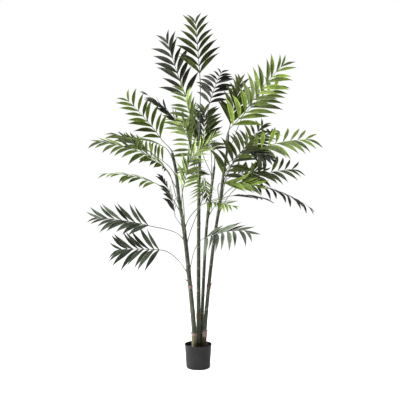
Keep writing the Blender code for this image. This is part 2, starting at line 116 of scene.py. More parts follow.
def new_material(name, bump_depth, paint, *colours, **fixed):
    """A material with fixed values on its shader, and with what paint makes for it.

    paint takes the shader tree, its coordinates and the colours, and returns sockets by the names
    of the shader's inputs. Height is the relief, which a Bump node of the depth given takes up.
    """
    material = bpy.data.materials.new(name)
    material.use_nodes = True
    tree = material.node_tree
    shader = tree.nodes["Principled BSDF"]
    for label, value in fixed.items():
        shader.inputs[label.replace("_", " ")].default_value = value
    painted = paint(tree, tree.nodes.new("ShaderNodeTexCoord").outputs, *colours)
    if bump_depth:
        relief = {"Strength": 1.0, "Distance": bump_depth, "Height": painted.pop("Height")}
        painted["Normal"] = node(tree, "ShaderNodeBump", relief).outputs["Normal"]
    for label, socket in painted.items():
        tree.links.new(socket, shader.inputs[label])
    return material


def pot_paint(tree, place):
    """Black plastic under dust: cloudy patches of it, and thin pale scuffs where the noise of a
    stretched pattern passes a bar. Dust dulls the gloss, and each scuff is a shallow groove."""
    clouds = remap(tree, noise(tree, place["Object"], 22.0, 5.0), 0.45, 0.80)
    scuffs = noise(tree, stretched(tree, place["Object"], SCUFF_STRETCH), 1.6, 4.0, 0.7)
    scuffs = remap(tree, scuffs, 0.66, 0.74)
    settled = maths(tree, "MULTIPLY", maths(tree, "MAXIMUM", clouds, scuffs), DUST_AMOUNT)
    return {
        "Base Color": blend_colours(tree, settled, POT_BLACK, POT_DUST),
        "Roughness": remap(tree, settled, 0.0, 1.0, 0.42, 0.75),
        "Height": maths(tree, "SUBTRACT", noise(tree, place["Object"], 900.0, 2.0), scuffs),
    }


def closed_skin(name, points, uv, materials, material_of_side=None, crease=35.0, marks=None):
    """One mesh of closed bodies, each a run of rings.

    points is (bodies, rings, sides, 3). Side j joins side j + 1 of its own ring and of the next,
    the last side joins the first, and triangles to its middle close each end ring. uv is
    (bodies, rings, sides + 1, 2), or None where no pattern needs it. Faces look outwards where the
    sides run anticlockwise about the way the rings go. marks are numbers for each point, kept as
    attributes.
    """
    bodies, rings, sides, _ = points.shape
    if uv is None:
        uv = np.zeros((bodies, rings, sides + 1, 2))
    around = np.arange(sides)
    beside = (around + 1) % sides
    last = (rings - 1) * sides
    pole = rings * sides
    ring, side = (grid.ravel() for grid in np.mgrid[0 : rings - 1, 0:sides])
    here, there = ring * sides + side, ring * sides + beside[side]
    quads = np.stack([here, there, there + sides, here + sides], axis=1)
    caps = np.concatenate([
        np.stack([np.full(sides, pole), beside, around], axis=1),
        np.stack([np.full(sides, pole + 1), last + around, last + beside], axis=1),
    ])
    first = np.arange(bodies)[:, None, None] * (pole + 2)
    ends = points[:, [0, -1]].mean(axis=2)
    places = np.concatenate([points.reshape(bodies, pole, 3), ends], axis=1)
    mesh = bpy.data.meshes.new(name)
    faces = [*(first + quads).reshape(-1, 4).tolist(), *(first + caps).reshape(-1, 3).tolist()]
    mesh.from_pydata(places.reshape(-1, 3), [], faces)
    middle = (uv[:, [0, -1], :-1] + uv[:, [0, -1], 1:]) / 2
    corners = np.stack([uv[:, ring, side], uv[:, ring, side + 1],
                        uv[:, ring + 1, side + 1], uv[:, ring + 1, side]], axis=2)
    cap_corners = np.concatenate([
        np.stack([middle[:, 0], uv[:, 0, 1:], uv[:, 0, :-1]], axis=2),
        np.stack([middle[:, 1], uv[:, -1, :-1], uv[:, -1, 1:]], axis=2),
    ], axis=1)
    layer = mesh.uv_layers.new(name="surface")
    flat_uv = np.concatenate([corners.reshape(-1, 2), cap_corners.reshape(-1, 2)])
    layer.data.foreach_set("uv", flat_uv.astype(np.float32).ravel())
    for label, values in (marks or {}).items():
        values = values.reshape(bodies, pole)
        poles = np.stack([values[:, :sides].mean(axis=1), values[:, -sides:].mean(axis=1)], axis=1)
        values = np.concatenate([values, poles], axis=1).astype(np.float32)
        mesh.attributes.new(label, "FLOAT", "POINT").data.foreach_set("value", values.ravel())
    for material in materials:
        mesh.materials.append(material)
    if material_of_side is not None:
        index = np.concatenate([material_of_side[:, side].ravel(),
                                np.tile(material_of_side, 2).ravel()])
        mesh.polygons.foreach_set("material_index", index.astype(np.int32))
    mesh.polygons.foreach_set("use_smooth", np.ones(len(mesh.polygons), bool))
    mesh.set_sharp_from_angle(angle=math.radians(crease))
    mesh.update()
    piece = bpy.data.objects.new(name, mesh)
    bpy.context.scene.collection.objects.link(piece)
    return piece


def arc(centre, radius, start, end, steps):
    """Points round a centre from one angle to another, in degrees from the way outwards."""
    angles = np.radians(np.linspace(start, end, steps + 1))
    return np.array(centre) + radius * np.stack([np.cos(angles), np.sin(angles)], axis=1)


def wrapped_uv(turn, line):
    """UV map of rings along a line: U is the share of a full turn, V the metres travelled."""
    run = np.concatenate([[0], np.cumsum(np.linalg.norm(np.diff(line, axis=0), axis=1))])
    return np.stack(np.broadcast_arrays(turn / (2 * math.pi), run[:, None]), axis=2)


def turned(profile, sides):
    """A profile of (radius, height) carried round the Z axis, as one body, and its UV map."""
    turn = np.linspace(0, 2 * math.pi, sides + 1)
    radius, height = profile[:, :1], profile[:, 1:]
    rings = np.stack([radius * np.cos(turn), radius * np.sin(turn), height + 0 * turn], axis=2)
    return rings[None, :, :-1], wrapped_uv(turn, profile)[None]


def wall_radius(height):
    """The pot's outer radius, which grows in a straight line from its foot to its rim."""
    return POT_FOOT_RADIUS + (POT_RIM_RADIUS - LIP_DEPTH - POT_FOOT_RADIUS) * height / POT_HEIGHT


def straight(start, end, steps):
    """Points from start to just before end, evenly spaced."""
    share = np.arange(steps)[:, None] / steps
    return np.array(start) * (1 - share) + np.array(end) * share


lip_foot = POT_HEIGHT - LIP_HEIGHT
under_lip = lip_foot - 0.002
wall_end = lip_foot - 0.003
lip_round = POT_WALL / 2
lip_middle = (POT_RIM_RADIUS - lip_round, POT_HEIGHT - lip_round)
inner_foot = wall_radius(POT_FLOOR) - POT_WALL
pot_profile = np.concatenate([
    POT_UNDERSIDE,
    arc((wall_radius(FOOT_ROUND) - FOOT_ROUND, FOOT_ROUND), FOOT_ROUND, -90, 0, 8),
    straight((wall_radius(WALL_START), WALL_START), (wall_radius(wall_end), wall_end), 14),
    [(wall_radius(under_lip), under_lip), (POT_RIM_RADIUS - 0.0003, lip_foot - LIP_EASE)],
    straight((POT_RIM_RADIUS, lip_foot + LIP_EASE), (POT_RIM_RADIUS, lip_middle[1]), 2),
    arc(lip_middle, lip_round, 0, 180, 8),
    straight((wall_radius(POT_HEIGHT) - POT_WALL, INNER_WALL[0]), (inner_foot, INNER_WALL[1]), 8),
    arc((inner_foot - INNER_ROUND, POT_FLOOR + INNER_ROUND), INNER_ROUND, 0, -90, 4),
    [(FLOOR_MIDDLE, POT_FLOOR)],
])
pot_black = new_material("pot_black", 0.00012, pot_paint, Specular_IOR_Level=0.4)
pot = closed_skin("pot_shell", *turned(pot_profile, POT_SIDES), [pot_black])
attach(pot, "root")
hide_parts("pot")

# ------------------------------------------------------------------------------------ filling
# Cement stained black, poured round the canes' feet to weigh the pot down. Its top has set
# slightly crowned and crumbly, 18 mm below the rim, with bits of grit standing out.
FILL_TOP = 0.122
FILL_CROWN = 0.004
FILL_GAP = 0.0004
FILL_FOOT_INSET = 0.003
FILL_RELIEF = 0.0014
CRUMB_PITCH = 0.010
GRAIN_PITCH = 0.0045
FILL_RINGS = 40
FILL_SIDES = 120
FILL_BLACK = (0.016, 0.015, 0.014, 1.0)
FILL_GRIT = (0.075, 0.068, 0.058, 1.0)


def ripple(points, pitch, seed):
    """Smooth unevenness of about -1 to 1: twice the mean of sine waves of about this pitch, in
    seeded directions."""
    waves = 7
    draw = np.random.default_rng(seed)
    ways = draw.normal(size=(waves, 3))
    ways /= np.linalg.norm(ways, axis=1, keepdims=True)
    ways *= 2 * math.pi / pitch * draw.uniform(0.6, 1.7, (waves, 1))
    return np.sin(points @ ways.T + draw.uniform(0, 2 * math.pi, waves)).mean(axis=-1) * 2


inner_top = wall_radius(FILL_TOP) - POT_WALL - FILL_GAP
inner_bottom = wall_radius(POT_FLOOR) - POT_WALL - FILL_GAP - FILL_FOOT_INSET
fill_edge = FILL_TOP - FILL_CROWN
top_radii = np.linspace(inner_top, 0.001, FILL_RINGS)
top_profile = np.stack([top_radii, FILL_TOP - FILL_CROWN * (top_radii / inner_top) ** 2], axis=1)
side_profile = [(FLOOR_MIDDLE, POT_FLOOR + FILL_GAP), (inner_bottom, POT_FLOOR + FILL_GAP),
                (inner_bottom + 0.001, POT_FLOOR + 0.002), (inner_top, fill_edge - 0.001)]
fill_points, fill_uv = turned(np.concatenate([side_profile, top_profile]), FILL_SIDES)
on_top = fill_points[..., 2] > fill_edge - 0.0005
grains = np.abs(ripple(fill_points, GRAIN_PITCH, 4))
crumbs = ripple(fill_points, CRUMB_PITCH, 3) + 0.8 * grains - 0.5
fill_points[..., 2] += np.where(on_top, FILL_RELIEF * crumbs, 0.0)


def fill_paint(tree, place):
    """Stained cement: black, with paler grit where fine noise passes a bar."""
    grit = remap(tree, noise(tree, place["Object"], 260.0, 4.0, 0.7), 0.58, 0.70)
    return {
        "Base Color": blend_colours(tree, grit, FILL_BLACK, FILL_GRIT),
        "Height": noise(tree, place["Object"], 420.0, 4.0),
    }


fill_black = new_material("fill_black", 0.0008, fill_paint, Roughness=0.92)
filling = closed_skin("pot_filling", fill_points, fill_uv, [fill_black], crease=60.0)
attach(filling, "root")
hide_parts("filling")

# -------------------------------------------------------------------------------------- canes
# Four slender canes, each a steel core under a sleeve of moulded plastic, set in the filling.
# They taper upwards and carry ring scars, as where old leaves fell. The plastic is dark green
# under a grey bloom, streaked along its length, with pale rings and brown scars painted on.
CANE_FOOT = 0.040
CANE_SIDES = 20
CANE_STEPS = 2
TAPER_POWER = 1.3
RING_STEP = 0.0026
SCAR_RISE = 0.0007
SCAR_REACH = 0.0022
PALE_REACH = 0.0026
COLLAR_RISE = 0.0005
COLLAR_REACH = 0.011
GROOVE_ABOVE = 0.004
GROOVE_DEPTH = 0.0004
GROOVE_REACH = 0.0016
BROWN_REACH = 0.011
BUMP_RISE = 0.0006
BUMP_REACH = 0.007
FLUTE_DEPTH = 0.00018
FLUTE_PITCH = 0.018
CANE_TIP = 0.004
CANE_GREEN = (0.060, 0.072, 0.038, 1.0)
CANE_DEEP = (0.012, 0.016, 0.008, 1.0)
CANE_BLOOM = (0.210, 0.222, 0.178, 1.0)
CANE_RING = (0.340, 0.330, 0.240, 1.0)
CANE_BROWN = (0.110, 0.072, 0.045, 1.0)

# name: points on the centre line, radius at the foot, radius at the top
CANES = {
    "left": (
        [(-0.022, -0.020, CANE_FOOT), (-0.024, -0.021, 0.22), (-0.049, -0.034, 0.50),
         (-0.080, -0.045, 0.80), (-0.112, -0.060, 1.00), (-0.128, -0.070, 1.15),
         (-0.150, -0.080, 1.26)],
        0.0150, 0.0080,
    ),
    "centre": (
        [(0.002, 0.004, CANE_FOOT), (0.002, 0.005, 0.22), (0.002, 0.009, 0.55),
         (0.004, 0.015, 0.99), (0.008, 0.020, 1.20), (0.010, 0.025, 1.46)],
        0.0130, 0.0075,
    ),
    "middle": (
        [(0.020, 0.024, CANE_FOOT), (0.021, 0.025, 0.22), (0.032, 0.038, 0.51),
         (0.050, 0.058, 0.82), (0.075, 0.070, 1.02), (0.098, 0.085, 1.19)],
        0.0112, 0.0070,
    ),
    "right": (
        [(0.031, -0.003, CANE_FOOT), (0.039, -0.004, 0.22), (0.064, -0.010, 0.50),
         (0.096, -0.018, 0.77), (0.126, -0.025, 0.96), (0.147, -0.020, 1.13),
         (0.170, -0.010, 1.28), (0.178, 0.000, 1.37)],
        0.0122, 0.0062,
    ),
}
# name: height of the lowest ring scar, distance to the next, and what each distance shrinks by
SCARS = {
    "left": (0.191, 0.144, 0.98),
    "centre": (0.152, 0.155, 0.93),
    "middle": (0.200, 0.113, 0.97),
    "right": (0.205, 0.141, 0.95),
}
# name: heights of brown scars
BROWN_SCARS = {"left": (0.335,), "centre": (0.307, 1.115), "middle": (0.420,), "right": (0.487,)}


def unit(vectors):
    """Each vector divided by its length."""
    return vectors / np.linalg.norm(vectors, axis=-1, keepdims=True)


def cane_path(points, steps):
    """The smooth cubic through the points, whose slope at each is half the way from the one before
    to the one after. Each span has so many steps, and the end spans are taken straight on."""
    known = np.array(points)
    known = np.concatenate([[2 * known[0] - known[1]], known, [2 * known[-1] - known[-2]]])
    before, start, end, after = (known[i : len(known) - 3 + i, None] for i in range(4))
    t = (np.arange(steps) / steps)[None, :, None]
    path = 0.5 * (
        2 * start + (end - before) * t
        + (2 * before - 5 * start + 4 * end - after) * t**2
        + (3 * start - before - 3 * end + after) * t**3
    )
    return np.concatenate([path.reshape(-1, 3), [known[-2]]])


def taper(name, heights):
    """The cane's plain radius at these heights, which falls as a power of the share climbed."""
    points, foot_radius, top_radius = CANES[name]
    share = (heights - points[0][2]) / (points[-1][2] - points[0][2])
    return foot_radius + (top_radius - foot_radius) * np.clip(share, 0, 1) ** TAPER_POWER


def on_cane(name, height):
    """The cane's centre, direction and radius where it passes this height."""
    path = cane_path(CANES[name][0], CANE_STEPS)
    i = np.searchsorted(path[:, 2], height) - 1
    share = (height - path[i, 2]) / (path[i + 1, 2] - path[i, 2])
    radii = taper(name, path[i : i + 2, 2])
    centre = path[i] * (1 - share) + path[i + 1] * share
    return centre, unit(path[i + 1] - path[i]), radii[0] * (1 - share) + radii[1] * share


def directions_round(path, turn):
    """At each point of a path, the directions square to it at these angles from near +X to +Y."""
    along = unit(np.gradient(path, axis=0))
    across = unit(np.cross(np.array([0.0, 1.0, 0.0]), along))
    over = np.cross(along, across)
    return across[:, None] * np.cos(turn)[:, None] + over[:, None] * np.sin(turn)[:, None]


def scar_heights(name):
    """Heights of the ring scars: each gap is the last one times the cane's shrinking."""
    height, gap, shrink = SCARS[name]
    top = CANES[name][0][-1][2]
    while height < top - 0.02:
        yield height
        height += gap
        gap *= shrink


def bell(distance, reach):
    """1 at no distance, falling smoothly to nothing past the reach."""
    return np.exp(-((distance / reach) ** 2))


def scar_profile(name, heights):
    """(what the scars add to the radius, how much each place is pale ring, how much is brown).

    A ring scar is a narrow raised ring with a fine groove above it. Below it the cane swells a
    little and falls back over about a centimetre. A brown scar is a low bump.
    """
    rise, ring = np.zeros_like(heights), np.zeros_like(heights)
    for scar in scar_heights(name):
        above = heights - scar
        rise += SCAR_RISE * bell(above, SCAR_REACH)
        rise -= GROOVE_DEPTH * bell(above - GROOVE_ABOVE, GROOVE_REACH)
        rise += COLLAR_RISE * np.where(above < 0, np.exp(above / COLLAR_REACH), 0.0)
        ring = np.maximum(ring, bell(above, PALE_REACH))
    brown = np.zeros_like(heights)
    for scar in BROWN_SCARS[name]:
        brown = np.maximum(brown, bell(heights - scar, BROWN_REACH))
        rise += BUMP_RISE * bell(heights - scar, BUMP_REACH)
    return rise, ring, brown


def cane_paint(tree, place):
    """Dark green plastic: streaks up the cane, a patchy grey bloom, pale rings and brown scars.

    The scars' marks come with the skin, and fine noise wears their paint.
    """
    streaks = noise(tree, stretched(tree, place["UV"], (14.0, 9.0, 1.0)), 3.0, 4.0, 0.65)
    worn = noise(tree, place["Object"], 240.0)
    bloom = remap(tree, noise(tree, place["Object"], 13.0, 4.0), 0.42, 0.72)
    bloom = maths(tree, "MULTIPLY", bloom, remap(tree, streaks, 0.4, 0.7))
    colour = blend_colours(tree, remap(tree, streaks, 0.35, 0.62), CANE_DEEP, CANE_GREEN)
    colour = blend_colours(tree, bloom, colour, CANE_BLOOM)
    ring_wear, brown_wear = (0.35, 0.55, 0.25, 0.95), (0.38, 0.60, 0.2, 1.0)
    for mark, scar, wear in (("ring", CANE_RING, ring_wear), ("brown", CANE_BROWN, brown_wear)):
        share = node(tree, "ShaderNodeAttribute", attribute_name=mark).outputs["Fac"]
        share = maths(tree, "MULTIPLY", share, remap(tree, worn, *wear))
        colour = blend_colours(tree, share, colour, scar)
    return {
        "Base Color": colour,
        "Roughness": remap(tree, worn, 0.3, 0.7, 0.36, 0.58),
        "Height": maths(tree, "ADD", streaks, maths(tree, "MULTIPLY", worn, 0.4)),
    }


def cane_skin(name):
    """Rings square to the centre line, with their UV map and marks.

    The radius is the taper plus the scars and a fine fluting, and it closes over the last few
    millimetres as the square root of what is left.
    """
    points = CANES[name][0]
    rough_length = np.linalg.norm(np.diff(np.array(points), axis=0), axis=1).sum()
    path = cane_path(points, round(rough_length / RING_STEP / (len(points) - 1)))
    heights = path[:, 2]
    rise, ring, brown = scar_profile(name, heights)
    turn = np.linspace(0, 2 * math.pi, CANE_SIDES + 1)
    outward = directions_round(path, turn)
    flutes = FLUTE_DEPTH * ripple(path[:, None] + outward * 0.01, FLUTE_PITCH, len(name))
    tip = np.clip((heights[-1] - heights) / CANE_TIP, 0.0, 1.0)[:, None] ** 0.5 * 0.4 + 0.6
    radius = ((taper(name, heights) + rise)[:, None] + flutes) * tip
    rings = path[:, None] + outward * radius[..., None]
    each_side = np.ones(CANE_SIDES)
    marks = {"ring": ring[:, None] * each_side, "brown": brown[:, None] * each_side}
    return rings[None, :, :-1], wrapped_uv(turn, path)[None], marks


cane_green = new_material("cane_green", 0.0005, cane_paint)
for name in CANES:
    cane_points, cane_uv, marks = cane_skin(name)
    cane = closed_skin(f"cane_sleeve_{name}", cane_points, cane_uv, [cane_green], marks=marks)
    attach(cane, "root")
    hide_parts(f"cane_{name}")

# ------------------------------------------------------------------------------ husks and spurs
# What clings to the canes near their feet: dry sheaths of old leaf bases, wrapped round the cane
# and torn off raggedly at the top, and the hooked stubs of broken stalks. Both are moulded in
# soft plastic, glued on and painted by hand in straw, dull pink and brown.
HUSK_SIDES = 36
HUSK_FLARE = 0.0016
HUSK_FOLDS = 0.0005
# share of the way up, share of the wall: up the outer side, over the edge and down inside
HUSK_PROFILE = np.array([
    (0.0, -0.2), (0.0, 0.6), (0.15, 1.0), (0.35, 1.0), (0.6, 1.0),
    (0.82, 1.0), (0.95, 1.0), (1.0, 0.8), (1.0, 0.3), (0.6, -0.2),
])
DEEPEST_TEAR = 1.4
SPUR_SIDES = 8
SPUR_RINGS = 12
SPUR_ROOT = 0.7
SPUR_HOOK = 0.25
SPUR_KNOTS = 0.25

# name: dark streaks, colour
HUSK_COLOURS = {
    "straw": ((0.105, 0.090, 0.045, 1.0), (0.300, 0.290, 0.170, 1.0)),
    "pink": ((0.170, 0.095, 0.075, 1.0), (0.560, 0.420, 0.370, 1.0)),
    "brown": ((0.045, 0.026, 0.014, 1.0), (0.210, 0.150, 0.095, 1.0)),
}
# cane, lower edge, upper edge, how deep the upper edge is torn, wall, colour
HUSKS = [
    ("left", 0.124, 0.196, 0.006, 0.0016, "straw"),
    ("left", 0.187, 0.212, 0.009, 0.0030, "pink"),
    ("left", 0.470, 0.494, 0.008, 0.0016, "pink"),
    ("centre", 0.284, 0.324, 0.012, 0.0012, "brown"),
    ("centre", 0.124, 0.150, 0.008, 0.0014, "brown"),
    ("middle", 0.124, 0.168, 0.010, 0.0014, "brown"),
    ("right", 0.124, 0.184, 0.008, 0.0012, "brown"),
    ("right", 0.178, 0.222, 0.014, 0.0024, "pink"),
    ("right", 0.462, 0.494, 0.010, 0.0014, "brown"),
]
# cane, height, way it points (across, towards the back, up), length, thickness, colour
SPURS = [
    ("left", 0.513, (-0.9, -0.2, 0.5), 0.026, 0.0070, "pink"),
    ("right", 0.212, (0.8, -0.3, 0.8), 0.034, 0.0048, "brown"),
    ("right", 0.487, (0.8, -0.2, 0.7), 0.028, 0.0062, "straw"),
    ("left", 0.205, (-0.9, -0.4, 0.3), 0.022, 0.0060, "pink"),
    ("centre", 0.318, (0.5, -0.8, 0.6), 0.020, 0.0050, "brown"),
]


def husk_paint(tree, place, dark, colour):
    """Painted plastic like dry husk: fibres that run up the cane, over a blotched colour."""
    fibres = noise(tree, stretched(tree, place["Object"], (1.0, 1.0, 0.12)), 420.0, 4.0, 0.65)
    blotches = remap(tree, noise(tree, place["Object"], 95.0), 0.36, 0.62, 0.35, 1.0)
    share = maths(tree, "MULTIPLY", remap(tree, fibres, 0.36, 0.58), blotches)
    return {"Base Color": blend_colours(tree, share, dark, colour), "Height": fibres}


def level_circle(turn):
    """Level directions at these angles from +X."""
    return np.stack([np.cos(turn), np.sin(turn), 0 * turn], axis=1)


def husk_skin(number, cane, low, high, torn, wall):
    """A sleeve from low to high, out along its outer side and back down its inner side.

    Its upper edge is lowered by a seeded ripple of the torn depth, its outer radius grows with the
    cube of the way up by the flare, and folds run up it as sines of three and five times the angle.
    """
    turn = np.linspace(0, 2 * math.pi, HUSK_SIDES, endpoint=False)
    circle = level_circle(turn)
    ragged = 0.5 * ripple(circle, 1.1, 60 + number) + 0.25 * ripple(circle, 0.45, 80 + number)
    top = high - torn * np.clip(0.5 + ragged, 0, DEEPEST_TEAR)
    share, lift = HUSK_PROFILE[:, :1], HUSK_PROFILE[:, 1:]
    height = low + (top - low) * share
    levels = np.linspace(low, high, 5)
    centres, _, radii = zip(*(on_cane(cane, level) for level in levels))
    centre = np.stack([np.interp(height, levels, part) for part in np.transpose(centres)], axis=2)
    folds = HUSK_FOLDS * (np.sin(turn * 5 + number) + np.sin(turn * 3 + 2 * number))
    reach = np.interp(height, levels, radii) + lift * wall
    reach += np.where(lift > 0, folds + HUSK_FLARE * share**3, 0.0)
    return centre + circle * reach[..., None]


def square_to(direction, way):
    """The part of a way that is square to a direction, as a unit vector."""
    return unit(way - direction * (way * direction).sum(axis=-1, keepdims=True))


def spur_skin(cane, height, way, length, thickness):
    """A stub that starts inside the cane and hooks up along it with the square of the way out.

    Its radius falls to a blunt point as the square root of the way left, with knots as a sine.
    """
    centre, along, radius = on_cane(cane, height)
    way = unit(np.array(way))
    t = np.linspace(0, 1, SPUR_RINGS)[:, None]
    root = centre + square_to(along, way) * radius * SPUR_ROOT
    path = root + way * length * t + along * length * SPUR_HOOK * t**2
    turn = np.linspace(0, 2 * math.pi, SPUR_SIDES, endpoint=False)
    knots = 1 + SPUR_KNOTS * np.sin(7 * t + length * 900)
    radius = thickness / 2 * np.sqrt(1.02 - t) * knots
    return path[:, None] + directions_round(path, turn) * radius[..., None]


husk_paints = [new_material(f"husk_{name}", 0.0004, husk_paint, *colours, Roughness=0.8)
               for name, colours in HUSK_COLOURS.items()]
paint_slots = {name: slot for slot, name in enumerate(HUSK_COLOURS)}
husk_points = np.stack([husk_skin(i, *husk[:5]) for i, husk in enumerate(HUSKS)])
husk_slots = np.array([[paint_slots[husk[5]]] * HUSK_SIDES for husk in HUSKS])
spur_points = np.stack([spur_skin(*spur[:5]) for spur in SPURS])
spur_slots = np.array([[paint_slots[spur[5]]] * SPUR_SIDES for spur in SPURS])
husks = closed_skin("husks", husk_points, None, husk_paints, husk_slots, crease=50.0)
spurs = closed_skin("spurs", spur_points, None, husk_paints, spur_slots)
for piece in (husks, spurs):
    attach(piece, "root")

# ----------------------------------------------------------------------- places of the fronds
# Each frond is a wiry stem that leaves its cane, runs on as the rib and carries eight pairs of
# leaflets, the last pair at its very tip. It is pushed into the cane and bent to its place by
# hand, so that no leaflet rests on another. TOP stands for a stem out of the cane's upper end.
TOP = None
TOP_GAP = 0.0008
GAP = 0.0003
STEM_WIDTH = 0.0046
RIB_TIP_WIDTH = 0.0024
STEM_THICKNESS = 0.0034
LEAF_THICKNESS = 0.0022
NEARBY = 0.01
STEM_SPRING = 0.9
STEM_OUTWARD = 0.35
RIB_ARCH = math.radians(12)
PAIRS = 8
FIRST_PAIR = 0.04
LEAF_FOOT = 0.007
LEAF_SLIMNESS = 0.172
WIDEST_AT = 0.46
LENGTH_LOSS = 0.42
LEAN_LOSS = math.radians(22)
LEAF_DROOP = 0.06
DOWN = np.array([0.0, 0.0, -1.0])
LOOSE_ANGLE = math.radians(7)
LOOSE_LENGTH = 0.12
LEAF_CLEARANCE = 0.0035
CLEAR_FROM = 0.15
RIM_CLEARANCE = 0.0024
TURNS_TRIED = (0, 9, -9, 18, -18, 27, -27)
WALL_STEPS = 5
WALL_SIDES = 10

